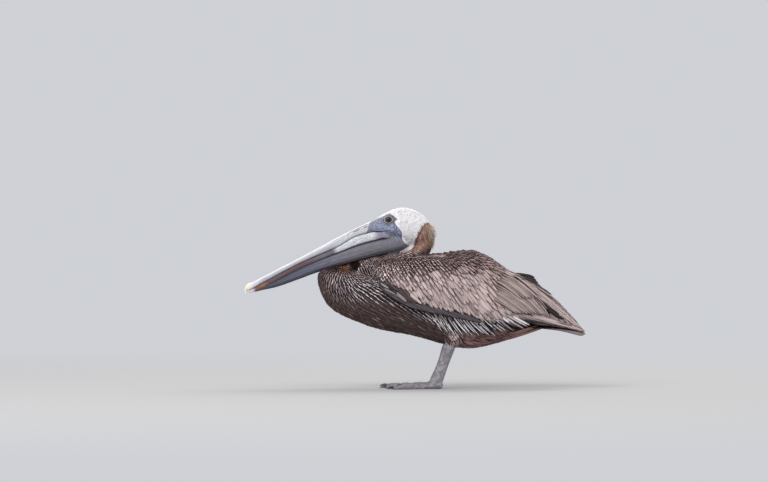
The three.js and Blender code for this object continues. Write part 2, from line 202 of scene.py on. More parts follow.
# The folded wings' outline from the side, half width and widest level at each x.
WING_HIGH = line((-99, 258), (-60, 267), (0, 275.5), (60, 278.5), (107, 281), (140, 271.5), (163, 254.5),
                 (196, 233), (243, 214), (291, 169.5), (341, 114))
WING_LOW = line((-99, 150), (-60, 112), (0, 94), (60, 80), (130, 74), (200, 92), (238, 112), (281, 118),
                (341, 108))
WING_SIDE = line((-99, 68), (-60, 95), (-10, 106), (50, 107), (107, 98), (160, 83), (210, 66), (260, 49),
                 (300, 34), (341, 14))
WING_WAIST = line((-99, 214), (0, 186), (100, 176), (200, 148), (260, 138), (341, 111))
# Where the tips of the wing's small feathers end above the band of dark ones, and above the striped flank.
COVERT_EDGE = line((-110, 238), (-80, 212), (-60, 202), (-38, 196), (-20, 180), (10, 168.4), (48, 159.4),
                   (94, 150.5), (124, 140), (135, 138), (148, 137), (165, 140), (190, 142), (205, 142),
                   (225, 144), (245, 143), (270, 141), (345, 110))
# Where the stripes of the breast and flank end above the plain belly, and the near wing's upper edge.
STREAK_END = line((-200, 202), (-181, 193), (-148, 172), (-106, 172), (-60, 168), (-30, 162), (24, 136),
                  (56, 122), (68, 106), (100, 96))
BACK_EDGE = line((190, 244), (203, 236), (227, 214), (255, 195), (277, 183), (302, 160))
# The pale line along the top of the shoulder.
SHOULDER_LINE = line((-34, 270), (10, 270), (60, 264))
# Where bare skin ends: behind, as x at a height, and above the eye, as height at an x.
FACE_BACK = line((268, -38), (271, -33), (276, -25), (282, -14), (287, -9), (293, -18), (300, -25),
                 (311, -26), (320, -32), (327, -38), (333, -40), (338, -35), (345, -44), (349, -52))
FACE_TOP = line((-100, 331), (-80, 337), (-64, 343), (-51, 348.5), (-44, 345), (-35, 338))
# Where the skin of the face ends on the upper bill, on the lower bill and on the pouch, as x.
RIM = (-91, -70, -56)
# Where the brown of the nape begins, as x at a height.
NAPE_FRONT = line((262, -60), (270, -33), (274, -14), (280, -5), (288, -1), (296, 0), (308, 6), (321, 13),
                  (327, 18), (331, 26), (336, 60))

# The level about which the plumage is unwrapped.
MIDDLE = line((-200, 205), (-120, 190), (0, 185), (120, 180), (240, 150), (345, 112))

# ---- meshes


def new_piece(name, points, faces, material, rings=None):
    """A mesh object in the part's frame from points in mm and quads, with other polygons of one size."""
    mesh = bpy.data.meshes.new(name)
    groups = [np.asarray(f, np.int32) for f in (faces, rings) if f is not None and len(f)]
    corners = np.concatenate([g.ravel() for g in groups])
    sizes = np.concatenate([np.full(len(g), g.shape[1], np.int32) for g in groups])
    mesh.vertices.add(len(points))
    mesh.vertices.foreach_set("co", (np.asarray(points, np.float32) * MM).ravel())
    mesh.loops.add(len(corners))
    mesh.loops.foreach_set("vertex_index", corners)
    mesh.polygons.add(len(sizes))
    mesh.polygons.foreach_set("loop_start", np.concatenate([[0], np.cumsum(sizes)[:-1]]).astype(np.int32))
    mesh.update(calc_edges=True)
    mesh.validate()
    mesh.polygons.foreach_set("use_smooth", np.ones(len(mesh.polygons), bool))
    return link_piece(name, mesh, material)


def link_piece(name, mesh, material):
    """An object that rides with the part's root, in one material and slot."""
    piece = bpy.data.objects.new(name, mesh)
    bpy.context.scene.collection.objects.link(piece)
    mesh.materials.append(material)
    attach(piece, "root")
    return piece


def paint(piece, name, values):
    """A colour (4 columns) or a vector (3 columns) on each point."""
    values = np.asarray(values, np.float32)
    kind, field = ("FLOAT_COLOR", "color") if values.shape[1] == 4 else ("FLOAT_VECTOR", "vector")
    layer = piece.data.attributes.new(name, kind, "POINT")
    layer.data.foreach_set(field, values.ravel())


def add_uv(piece, name, uv):
    """A UV map from one pair of values for each point."""
    corner = np.zeros(len(piece.data.loops), np.int32)
    piece.data.loops.foreach_get("vertex_index", corner)
    layer = piece.data.uv_layers.new(name=name)
    layer.data.foreach_set("uv", np.asarray(uv, np.float32)[corner].ravel())


def reshaped(mesh, points):
    """Moves a mesh's points to places in mm, and shades it smoothly."""
    mesh.vertices.foreach_set("co", (points * MM).ravel())
    mesh.update()
    mesh.polygons.foreach_set("use_smooth", np.ones(len(mesh.polygons), bool))
    mesh.materials.clear()


def mesh_points(mesh):
    """The places of a mesh's points, in mm."""
    points = np.zeros(len(mesh.vertices) * 3)
    mesh.vertices.foreach_get("co", points)
    return points.reshape(-1, 3) / MM


def mesh_normals(mesh):
    """The smooth normals of a mesh's points."""
    normals = np.zeros(len(mesh.vertices) * 3)
    mesh.vertices.foreach_get("normal", normals)
    return normals.reshape(-1, 3)


def tube_faces(rings, sides):
    """Quads of a closed tube of rings of points, numbered ring by ring."""
    i, j = np.meshgrid(np.arange(rings - 1), np.arange(sides), indexing="ij")
    a = i * sides + j
    b = i * sides + (j + 1) % sides
    return np.stack([a, b, b + sides, a + sides], -1).reshape(-1, 4)


def tube_ends(rings, sides):
    """The two polygons that close a tube of rings."""
    return np.stack([np.arange(sides)[::-1], (rings - 1) * sides + np.arange(sides)])


class Surface:
    """A closed surface that feathers can be laid on."""

    def __init__(self, mesh):
        points = [tuple(p) for p in mesh_points(mesh)]
        self.tree = BVHTree.FromPolygons(points, [tuple(f.vertices) for f in mesh.polygons])
        self.normals = mesh_normals(mesh)
        self.corners = [tuple(f.vertices) for f in mesh.polygons]

    def snap(self, points):
        """The nearest points of the surface, and its smooth normals there."""
        place = np.empty((len(points), 3))
        facing = np.empty((len(points), 3))
        find = self.tree.find_nearest
        for i, point in enumerate(points):
            hit, _, face, _ = find(point)
            place[i] = hit
            facing[i] = self.normals[list(self.corners[face])].mean(0)
        return place, unit(facing)

    def from_side(self, x, z, hand):
        """The point of the flank seen square from one side at (x, z), or the nearest one past the outline."""
        hit, _, face, _ = self.tree.ray_cast(Vector((x, hand * 300.0, z)), Vector((0, -hand, 0)))
        if hit is None:
            hit, _, face, _ = self.tree.find_nearest(Vector((x, hand * 4.0, z)))
        return np.array(hit), unit(self.normals[list(self.corners[face])].mean(0))


# ---- tubes


def section(power, sides):
    """Points at even turns from the top of the curve |across|^power + |up|^power = 1."""
    turn = np.linspace(0, 2 * np.pi, sides, endpoint=False)
    across, up = (np.sign(v) * np.abs(v) ** (2 / power) for v in (np.sin(turn), np.cos(turn)))
    return np.where(turn > np.pi, turn - 2 * np.pi, turn), across, up


def stations(start, end, count):
    """Places along a tube, closer together towards its ends."""
    return start + (end - start) * (1 - np.cos(np.linspace(0, np.pi, count))) / 2


def rounded(x, start, end, nose, tail):
    """Scale of a section near the ends of a tube, which close like a ball: sqrt(1 - (1 - d / cap)^2)."""
    scale = np.ones_like(x)
    for distance, cap in ((x - start, nose), (end - x, tail)):
        if cap:
            scale *= np.sqrt(1 - (1 - np.clip(distance / cap, 0.02, 1)) ** 2)
    return scale


class Tube(NamedTuple):
    """A closed form along X: heights of its upper and lower line and its half width at each x."""

    span: tuple
    high: object
    low: object
    side: object
    power: float
    caps: tuple


def tube_points(tube, count, sides):
    """Rings square to X, and each point's turn from the top and place along the tube."""
    x = stations(*tube.span, count)
    turn, across, up = section(tube.power, sides)
    scale = rounded(x, *tube.span, *tube.caps)
    high, low = tube.high(x), tube.low(x)
    middle, half = (high + low) / 2, (high - low) / 2 * scale
    y = (tube.side(x) * scale)[:, None] * across
    z = middle[:, None] + half[:, None] * up
    grid_x, grid_turn = np.broadcast_arrays(x[:, None], turn[None])
    return np.stack([grid_x, y, z], -1), grid_turn


def path_points(points, sides, count, hint):
    """Rings along a smooth path through rows of x, y, z, deep, wide; hint is the way across, roughly."""
    rows = np.array(points, float)
    lines = [line(*zip(np.arange(len(rows)), rows[:, k])) for k in range(5)]
    t = np.linspace(0, len(rows) - 1, count)
    x, y, z, deep, wide = (at(t) for at in lines)
    middle = np.stack([x, y, z], -1)
    ahead = unit(np.gradient(middle, axis=0))
    side = unit(hint - ahead * np.sum(hint * ahead, 1, keepdims=True))
    up = np.cross(ahead, side)
    turn = np.linspace(0, 2 * np.pi, sides, endpoint=False)
    out = np.sin(turn)[None, :, None] * (side * wide[:, None])[:, None]
    return middle[:, None] + out + np.cos(turn)[None, :, None] * (up * deep[:, None])[:, None]


def outward(p):
    """Outward normals of a closed tube."""
    normals = unit(np.cross(np.roll(p, -1, 1) - np.roll(p, 1, 1), np.gradient(p, axis=0)))
    away = p - p.mean(1, keepdims=True)
    return normals * np.sign(np.sum(normals * away))


def tube_piece(name, p, tint, material):
    """A piece from the rings of a closed tube, with a colour and its place along and round on each point."""
    rings, sides = p.shape[:2]
    middle = p.mean(1)
    along = np.concatenate([[0], np.cumsum(np.linalg.norm(np.diff(middle, axis=0), axis=1))])
    girth = np.linalg.norm(p - np.roll(p, 1, 1), axis=-1).sum(1)
    step = np.minimum(np.arange(sides), sides - np.arange(sides)) / sides
    grain = np.stack(np.broadcast_arrays(along[:, None], girth[:, None] * step, 0.0), -1) * MM
    faces, ends = tube_faces(rings, sides), tube_ends(rings, sides)
    sample = faces[len(faces) // 2]
    corner = p.reshape(-1, 3)[sample]
    facing = np.cross(corner[1] - corner[0], corner[3] - corner[0])
    if np.dot(facing, outward(p).reshape(-1, 3)[sample[0]]) < 0:
        faces, ends = faces[:, ::-1], ends[:, ::-1]
    piece = new_piece(name, p.reshape(-1, 3), faces, material, ends)
    paint(piece, "tint", np.column_stack([tint.reshape(-1, 3), np.ones(rings * sides)]))
    paint(piece, "grain", grain.reshape(-1, 3))
    return piece


def bump_at(x, place, width):
    """A bell of height 1 at a place: exp(-((x - place) / width)^2)."""
    return np.exp(-(((x - place) / width) ** 2))


# ---- bill

# The line between the two halves of the bill, and the lower edge of its lower half, as heights.
MOUTH = line((-332, 195.5), (-230, 249), (-158, 280), (-119, 302.5), (-80, 311.5), (-44, 313.5))
POUCH_EDGE = line((-332, 189), (-301, 202.5), (-230, 239.5), (-154, 271), (-102, 290), (-44, 301.5),
                  (-9, 294))
MAXILLA = Tube(
    span=(-338.5, -79),
    high=line((-338, 204), (-323, 212), (-214, 268.5), (-150, 303), (-92, 331.5), (-79, 337)),
    low=lambda x: MOUTH(x) - 0.5,
    side=line((-338, 6.5), (-320, 11.5), (-290, 12.8), (-230, 13), (-160, 15.5), (-119, 18), (-79, 20.8)),
    power=3.0,
    caps=(8, 0),
)
MANDIBLE = Tube(
    span=(-332, -44),
    high=lambda x: MOUTH(x) + 1.5 * bump_at(x, -85, 8),
    low=lambda x: POUCH_EDGE(x) - 0.7,
    side=line((-332, 6), (-301, 11), (-230, 13.5), (-154, 18), (-102, 22), (-44, 25)),
    power=5.0,
    caps=(6, 12),
)
POUCH = Tube(
    span=(-322, -8),
    high=lambda x: POUCH_EDGE(x) + 2.2,
    low=line((-322, 190.5), (-309, 195), (-276, 202.5), (-229, 219), (-195, 231.5), (-140, 247), (-80, 262),
             (-34, 271.5), (-8, 283)),
    side=line((-322, 7), (-301, 10), (-230, 14.5), (-154, 20), (-100, 26), (-60, 29), (-30, 28), (-8, 20)),
    power=2.5,
    caps=(14, 16),
)
# The hooked nail, by rows of x, y, z, deep, wide.
NAIL = ((-318, 0, 209, 3.0, 5.6), (-326, 0, 207.5, 3.7, 6.2), (-333, 0, 204.5, 4.2, 5.6),
        (-338, 0, 197, 3.0, 3.6), (-337.5, 0, 190.5, 1.9, 2.2), (-336.4, 0, 186.6, 0.5, 0.6))

# ---- skin

FLESH = ["trunk", "neck_lower", "neck_middle", "neck_upper", "head", "thigh_left", "thigh_right", "wing_left",
         "wing_right", "wing_quills_left", "wing_quills_right"]
EYE = {"x": -53.0, "y": 20.4, "z": 336.5}

# Balls, by middle and half axes, that fill the flesh between the pouch and the neck.
THROAT = (((-147, 0, 238), (30, 20, 9)), ((-106, 0, 251), (26, 19, 8)), ((-74, 0, 259.5), (26, 22, 8.5)))


def flesh_mesh(grow):
    """Copies of the nodes of flesh in one mesh, pushed out until they overlap, and the rear of the bill."""
    joined = bmesh.new()
    for name in FLESH:
        part = bmesh.new()
        part.from_mesh(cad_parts[name].data)
        bmesh.ops.remove_doubles(part, verts=part.verts, dist=1e-6)
        part.normal_update()
        places = [v.co + v.normal * grow * MM for v in part.verts]
        for vert, place in zip(part.verts, places):
            vert.co = place
        copy = bpy.data.meshes.new("flesh_part")
        part.to_mesh(copy)
        part.free()
        joined.from_mesh(copy)
        bpy.data.meshes.remove(copy)
    for tube, start in ((MAXILLA, RIM[0]), (MANDIBLE, RIM[1]), (POUCH, RIM[2])):
        p, _ = tube_points(tube._replace(span=(start - 4, tube.span[1]), caps=(3, tube.caps[1])), 40, 48)
        p = p + outward(p) * grow
        rings, sides = p.shape[:2]
        verts = [joined.verts.new(q * MM) for q in p.reshape(-1, 3)]
        for face in (*tube_faces(rings, sides), *tube_ends(rings, sides)):
            joined.faces.new([verts[i] for i in face])
    for middle, axes in THROAT:
        place = Matrix.Diagonal((*(a * MM for a in axes), 1))
        place.translation = Vector(middle) * MM
        bmesh.ops.create_uvsphere(joined, u_segments=32, v_segments=16, radius=1, matrix=place)
    bmesh.ops.recalc_face_normals(joined, faces=joined.faces)
    mesh = bpy.data.meshes.new("flesh")
    joined.to_mesh(mesh)
    joined.free()
    return mesh


def merged_mesh(mesh, voxel, rounds):
    """One closed surface around all that a mesh holds, smoothed."""
    source = bpy.data.objects.new("merging", mesh)
    bpy.context.scene.collection.objects.link(source)
    remesh = source.modifiers.new("Remesh", "REMESH")
    remesh.mode = "VOXEL"
    remesh.voxel_size = voxel * MM
    relax = source.modifiers.new("Smooth", "SMOOTH")
    relax.factor = 0.5
    relax.iterations = rounds
    graph = bpy.context.evaluated_depsgraph_get()
    made = bpy.data.meshes.new_from_object(source.evaluated_get(graph))
    bpy.data.objects.remove(source)
    return made


def on_wing(p, margin=0.0, inner=0.0):
    """How surely points lie on a folded wing; margin moves its lower border up and inner the others in."""
    x, y, z = p.T
    edge = np.minimum(WING_EDGE(x), COVERT_EDGE(x) + 8)
    above = smooth(-3, 3, z - edge - margin)
    outside = smooth(-3, 3, np.abs(y) - WING_INNER(x) - inner)
    return above * outside * smooth(-100, -88, x - inner)


def on_face(p):
    """1 on the bare skin of the face, and 0 in the feathers."""
    x, _, z = p.T
    behind = smooth(-1.2, 1.2, FACE_BACK(z) - x)
    under = smooth(-1.2, 1.2, FACE_TOP(x) - z)
    above = smooth(-3.5, -1.5, z - POUCH.low(x))
    return behind * under * above * smooth(4, 0, x) * smooth(-104, -98, x)


def under_rim(p):
    """How far the skin has sunk into horn and pouch at its front rim: 1 before the rim and 0 behind it."""
    x, _, z = p.T
    rim = np.where(z > MOUTH(x), RIM[0], np.where(z > POUCH_EDGE(x), RIM[1], RIM[2]))
    return smooth(rim + 6, rim - 1, x)


def coat_depth(p):
    """How far under the solids the skin lies, in mm."""
    x, y, z = p.T
    head = smooth(268, 286, z) * smooth(60, 45, x)
    nape = smooth(-2, 4, x - NAPE_FRONT(z))
    depth = 3.0 + 1.6 * on_wing(p)
    depth = depth * (1 - head) + (1.1 + 1.3 * nape) * head
    shin = smooth(100, 88, z) * smooth(20, 40, np.abs(y)) * smooth(20, 40, x)
    depth = depth * (1 - 0.8 * shin)
    bare = on_face(p)
    crop = smooth(-88, -112, x) * smooth(214, 232, z)
    depth = depth * (1 - 0.7 * smooth(250, 300, x))
    depth = depth * (1 - 0.85 * crop) + 5.5 * np.exp(-((x + 121) ** 2 + (z - 246) ** 2) / 60)
    return depth * (1 - bare) + (-0.15 + 1.5 * under_rim(p)) * bare


def refined(mesh, near, cuts):
    """Splits the edges whose two ends pass a test of their place in mm."""
    work = bmesh.new()
    work.from_mesh(mesh)
    edges = [e for e in work.edges if near(e.verts[0].co / MM) and near(e.verts[1].co / MM)]
    bmesh.ops.subdivide_edges(work, edges=edges, cuts=cuts, use_grid_fill=True, smooth=0.6)
    work.to_mesh(mesh)
    work.free()


def eye_distance(p):
    """Distance from the eye's centre as seen from the side, with the opening a little longer than high."""
    along = (p[:, 0] - EYE["x"]) / 1.08
    up = (p[:, 2] - EYE["z"]) / 0.96
    return np.hypot(along, up)


# How far the skin stands out from the middle of the head at a distance from the eye's centre.
LID_OUT = line((0, 12), (5.0, 22.5), (5.7, 25.7), (6.6, 26.5), (7.6, 26.3), (8.8, 25.3), (10.5, 24.6))


def build_skin(settings):
    """The merged flesh drawn in by the coat's depth, with a raised lid round each eye."""
    voxel = settings.skin_cell / MM
    grow = voxel * 0.5
    mesh = merged_mesh(flesh_mesh(grow), voxel, settings.smoothing)
    eye = Vector((EYE["x"], 0, EYE["z"]))
    refined(mesh, lambda c: -100 < c[0] < -8 and 268 < c[2] < 350 and abs(c[1]) > 8, 1)
    refined(mesh, lambda c: np.hypot(c[0] - eye.x, c[2] - eye.z) < 13 and abs(c[1]) > 8, 1)
    points, normals = mesh_points(mesh), mesh_normals(mesh)
    points = points - normals * (grow + coat_depth(points))[:, None]
    reach = eye_distance(points)
    near = smooth(11.5, 8.5, reach) * (np.abs(points[:, 1]) > 8)
    hand = np.sign(points[:, 1])
    points[:, 1] = points[:, 1] * (1 - near) + hand * LID_OUT(reach) * near
    reshaped(mesh, points)
    skin = link_piece("skin", mesh, skin_material())
    paint(skin, "tint", skin_tint(points))
    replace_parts(skin, *FLESH)


def skin_tint(p):
    """The coat's colours under it, mostly the dark margins as painted shade in its gaps, and the bare face's.
    Alpha is 1 on bare skin.
    """
    x, _, z = p.T
    wing = on_wing(p)
    body = BODY_LIE.at(p)
    side = WING_LIE.at(p)
    # mostly the margins' dark colours, painted on the skin as shade in the gaps between feathers
    under = mix(mix(body[:, 4:7], body[:, 7:10], 0.97), mix(side[:, 4:7], side[:, 7:10], 0.8), wing)
    head = smooth(270, 282, z) * smooth(60, 48, x) * smooth(-96, -88, x)
    brown = smooth(-1.5, 1.5, x - NAPE_FRONT(z))
    under = mix(under, mix(WHITE, NAPE, brown), head)
    face = mix(POUCH_GREY, FACE, smooth(293, 311, z + 0.4 * (x + 40)))
    ramus = smooth(-2, 2, z - POUCH_EDGE(x)) * smooth(2, -2, z - MOUTH(x))
    face = mix(face, RAMUS_REAR, ramus * smooth(-44, -56, x))
    face = mix(face, LORE, smooth(-58, -76, x) * smooth(318, 330, z))
    face = mix(face, LID_DARK, smooth(-58, -46, x) * smooth(327, 337, z) * 0.75)
    reach = eye_distance(p)
    across = np.hypot((x + 66) / 25, (z - 319.5 + 0.10 * (x + 66)) / 8.5)
    face = mix(face, FACE_BRIGHT, smooth(1.0, 0.8, across) * 0.75)
    face = mix(face, LID_DARK, bump_at(across, 1.08, 0.07) * 0.55)
    face = mix(face, LID_DARK, smooth(12.0, 10.0, reach) * 0.8)
    face = mix(face, LID, bump_at(reach, 7.4, 1.15) * 0.85)
    face = mix(face, np.array(LID_DARK) * 0.3, smooth(5.9, 5.4, reach))
    bare = on_face(p)
    return np.column_stack([mix(under, face, bare), bare * smooth(6, 8, reach)])


# ---- how the feathers lie


class Spot(NamedTuple):
    """The feathers at one place of the side view. lie is the way they point: 0 to the tail and -90 down."""

    x: float
    z: float
    lie: float
    length: float
    width: float
    centre: tuple
    margin: tuple
    share: float


class Lie:
    """A smooth blend of listed spots over the side view, the same on both sides of the bird."""

    def __init__(self, rows, reach=7.0, sharpness=1.7):
        spots = [Spot(*row) for row in rows]
        self.place = np.array([(s.x, s.z) for s in spots], float)
        angle = np.radians([s.lie for s in spots])
        self.table = np.column_stack([
            np.cos(angle), np.sin(angle), [s.length for s in spots], [s.width for s in spots],
            [s.centre for s in spots], [s.margin for s in spots], [s.share for s in spots],
        ])
        self.reach = reach
        self.sharpness = sharpness

    def at(self, points):
        offset = points[:, None, [0, 2]] - self.place[None]
        weight = (np.sum(offset**2, -1) + self.reach**2) ** -self.sharpness
        return weight @ self.table / weight.sum(1, keepdims=True)

    def way(self, points, normals):
        """The way that feathers point, along the surface."""
        row = self.at(points)
        aim = np.column_stack([row[:, 0] + 1e-3, np.zeros(len(row)), row[:, 1]])
        return unit(aim - normals * np.sum(aim * normals, 1, keepdims=True))


BODY_LIE = Lie([
    # the front of the breast
    (-168, 238, -96, 15, 5.4, FORE, DARK, 0.5),
    (-192, 215, -90, 18, 6, FORE, DARK, 0.5),
    (-186, 186, -72, 20, 6.2, FORE, DARK, 0.5),
    (-168, 162, -50, 22, 6.6, FORE, DARK, 0.5),
    (-143, 145, -34, 24, 6.8, BELLY, DARK, 0.5),
    # under the pouch
    (-158, 240, -96, 11, 4.4, FORE, DARK, 0.5),
    (-139, 245, -96, 9, 3.6, RUST, NAPE_DARK, 0.7),
    (-136, 232, -84, 12, 5, FORE, DARK, 0.45),
    # black spots in the hollow under the pouch: painted shadow
    (-121, 248, -84, 8, 3.6, BLACK, BLACK, 0.6),
    (-119, 240, -84, 8, 3.8, BLACK, BLACK, 0.6),
    (-104, 246, -66, 10, 4.2, BACK_PALE, DARK, 0.3),
    (-104, 260, -60, 8, 3.8, BACK_DARK, BACK_DARK, 0.45),
    (-112, 232, -70, 13, 5, BACK_PALE, DARK, 0.28),
    # the pale streaks, round the breast and back along its side
    (-160, 214, -88, 17, 5.8, BACK_PALE, DARK, 0.2),
    (-150, 190, -66, 20, 6.4, STREAK_DIM, DARK, 0.17),
    (-136, 212, -62, 17, 6, STREAK, DARK, 0.2),
    (-131, 172, -44, 22, 6.8, STREAK_DIM, DARK, 0.15),
    (-108, 196, -38, 22, 6.6, STREAK, DARK, 0.21),
    (-84, 182, -35, 24, 6.8, STREAK, DARK, 0.2),
    (-56, 166, -35, 25, 6.8, STREAK, DARK, 0.19),
    (-18, 151, -36, 25, 6.6, STREAK, DARK, 0.18),
    (22, 139, -42, 26, 6.6, STREAK, DARK, 0.22),
    (48, 128, -54, 27, 6.6, FLANK_WHITE, FLANK_DARK, 0.28),
    # the belly
    (-122, 150, -28, 23, 7, BELLY, DARK, 0.5),
    (-92, 150, -22, 24, 7.2, BELLY, BELLY_DARK, 0.5),
    (-80, 128, -16, 26, 7.6, BELLY, BELLY_DARK, 0.5),
    (-40, 138, -20, 26, 7.4, BELLY, BELLY_DARK, 0.45),
    (-30, 115, -14, 27, 7.8, BELLY, BELLY_DARK, 0.5),
    (10, 122, -22, 26, 7.4, BELLY, BELLY_DARK, 0.45),
    (25, 102, -16, 27, 7.8, BELLY, BELLY_DARK, 0.5),
    (52, 108, -34, 26, 7, BELLY, BELLY_DARK, 0.4),
    (62, 92, -20, 26, 7.2, BELLY, BELLY_DARK, 0.5),
    # the flank, striped with white
    (72, 124, -64, 24, 7, FLANK_DARK, BLACK, 0.5),
    (100, 121, -62, 26, 7.4, FLANK_DARK, BLACK, 0.5),
    (138, 122, -56, 27, 7.6, FLANK_DARK, BLACK, 0.5),
    (172, 126, -48, 30, 8, FLANK_DARK, BLACK, 0.5),
    (206, 134, -38, 32, 8.4, FLANK_DARK, BLACK, 0.5),
    # the thigh and the vent
    (76, 104, -68, 16, 5, BACK_PALE, BELLY, 0.4),
    (72, 90, -80, 9, 3.8, BACK_PALE, BELLY, 0.45),
    (104, 98, -30, 28, 7.6, VENT, DARK, 0.72),
    (110, 82, -6, 29, 8, VENT, DARK, 0.72),
    (150, 94, -12, 32, 8.6, VENT, DARK, 0.72),
    (190, 103, 0, 36, 9.2, VENT, DARK, 0.66),
    (228, 115, 6, 38, 9.6, VENT, DARK, 0.6),
    # the back between the wings
    (-60, 262, -40, 9, 3.6, BACK_WARM, BACK_DARK, 0.26),
    (-10, 258, -20, 11, 4.4, BACK_PALE, BACK_DARK, 0.3),
    (50, 272, -4, 13, 4.8, HUMP, BACK_DARK, 0.24),
    (96, 280, -10, 15, 5.4, HUMP, BACK_DARK, 0.22),
])

WING_LIE = Lie([
    # the shoulder: small feathers
    (-84, 250, -84, 9, 3.6, BACK_WARM, SHOULDER_DARK, 0.32),
    (-86, 232, -76, 11, 4.4, SHOULDER_PALE, SHOULDER_DARK, 0.36),
    (-76, 216, -52, 15, 5.6, STREAK, DARK, 0.26),
    (-50, 260, -86, 9, 3.9, BACK_WARM, BACK_DARK, 0.22),
    (-52, 240, -74, 13, 4.8, SHOULDER_PALE, SHOULDER_DARK, 0.4),
    (-54, 222, -56, 18, 5.6, SHOULDER_PALE, SHOULDER_DARK, 0.44),
    (-34, 210, -50, 28, 8, SILVER, SILVER_EDGE, 0.66),
    (-16, 264, -84, 10, 4.2, BACK_WARM, BACK_DARK, 0.22),
    (-16, 245, -72, 15, 5.2, BACK_PALE, BACK_DARK, 0.32),
    (-12, 226, -62, 26, 7.6, SILVER, BACK_DARK, 0.48),
    (-4, 200, -56, 44, 8.692, SILVER, SILVER_EDGE, 0.74),
    (14, 182, -52, 50, 9.512, SILVER, SILVER_EDGE, 0.78),
    # the mantle
    (26, 270, -76, 11, 4.4, BACK_PALE, BACK_DARK, 0.2),
    (30, 254, -68, 17, 5.4, BACK_PALE, BACK_DARK, 0.26),
    (34, 232, -60, 34, 8.4, SILVER, BACK_DARK, 0.46),
    (40, 206, -57, 54, 9.184, SILVER, SILVER_EDGE, 0.74),
    (50, 176, -53, 64, 10.33, SILVER, SILVER_EDGE, 0.8),
    (72, 275, -60, 12, 4.8, HUMP, BACK_DARK, 0.22),
    (76, 260, -60, 19, 5.6, HUMP_PALE, BACK_DARK, 0.22),
    (80, 240, -57, 32, 7.4, HUMP_PALE, BACK_DARK, 0.3),
    (86, 206, -55, 58, 9.676, SILVER, SILVER_EDGE, 0.74),
    (92, 172, -51, 66, 10.82, SILVER, SILVER_EDGE, 0.8),
    (98, 150, -46, 64, 10.33, SILVER, SILVER_EDGE, 0.8),
    # towards the rump
    (118, 276, -34, 16, 5.6, HUMP, BACK_DARK, 0.26),
    (122, 262, -48, 21, 6.2, HUMP_PALE, BACK_DARK, 0.24),
    (128, 238, -53, 38, 7.7, HUMP_PALE, BACK_DARK, 0.44),
    (134, 206, -51, 60, 10, SILVER_PALE, SILVER_EDGE, 0.76),
    (140, 170, -48, 66, 10.99, SILVER_PALE, SILVER_EDGE, 0.8),
    (146, 150, -43, 62, 10.33, SILVER_PALE, SILVER_EDGE, 0.8),
    (156, 257, -36, 24, 6.8, RUMP, BACK_DARK, 0.46),
    (168, 236, -44, 36, 8.8, RUMP, BACK_DARK, 0.55),
    (180, 198, -47, 58, 10.33, SILVER_PALE, SILVER_EDGE, 0.74),
    (186, 164, -43, 60, 10.66, SILVER, SILVER_EDGE, 0.78),
    (220, 214, -38, 50, 8.692, QUILL_PALE, QUILL, 0.6),
    (240, 164, -36, 56, 9.84, QUILL, QUILL, 0.6),
    (300, 140, -36, 56, 9.84, QUILL_PALE, QUILL, 0.6),
    (326, 124, -36, 20, 7, QUILL_PALE, QUILL, 0.6),
    (336, 116, -36, 12, 5.5, QUILL_PALE, QUILL, 0.6),
])

HEAD_LIE = Lie([
    *((*row, WHITE, WHITE_SHADE, 0.85) for row in (
        (-80, 341, 24, 6, 1.7), (-50, 354, 18, 6.5, 1.8), (-20, 361, -2, 7, 1.9),
        (4, 355, -18, 7.5, 2), (24, 340, -42, 8, 2), (-28, 346, -12, 7, 1.9),
        (-28, 328, -34, 7, 1.9), (-12, 306, -64, 7.5, 2), (-4, 290, -88, 7, 1.9),
        (2, 322, -52, 8, 2), (-24, 276, -150, 6, 1.7))),
    (24, 326, -72, 10, 2, NAPE_DARK, DARK, 0.5),
    (12, 308, -84, 10, 2, NAPE, NAPE_DARK, 0.6),
    (8, 286, -92, 10, 2.1, NAPE, NAPE_DARK, 0.6),
    (-8, 270, -110, 9, 2.1, NAPE, NAPE_DARK, 0.6),
    (30, 312, -82, 12, 2, NAPE_GOLD, NAPE, 0.6),
    (28, 288, -96, 12, 2.1, NAPE_GOLD, NAPE, 0.6),
    (20, 274, -100, 11, 2.2, NAPE_GOLD, NAPE, 0.6),
], reach=5)


# ---- feathers


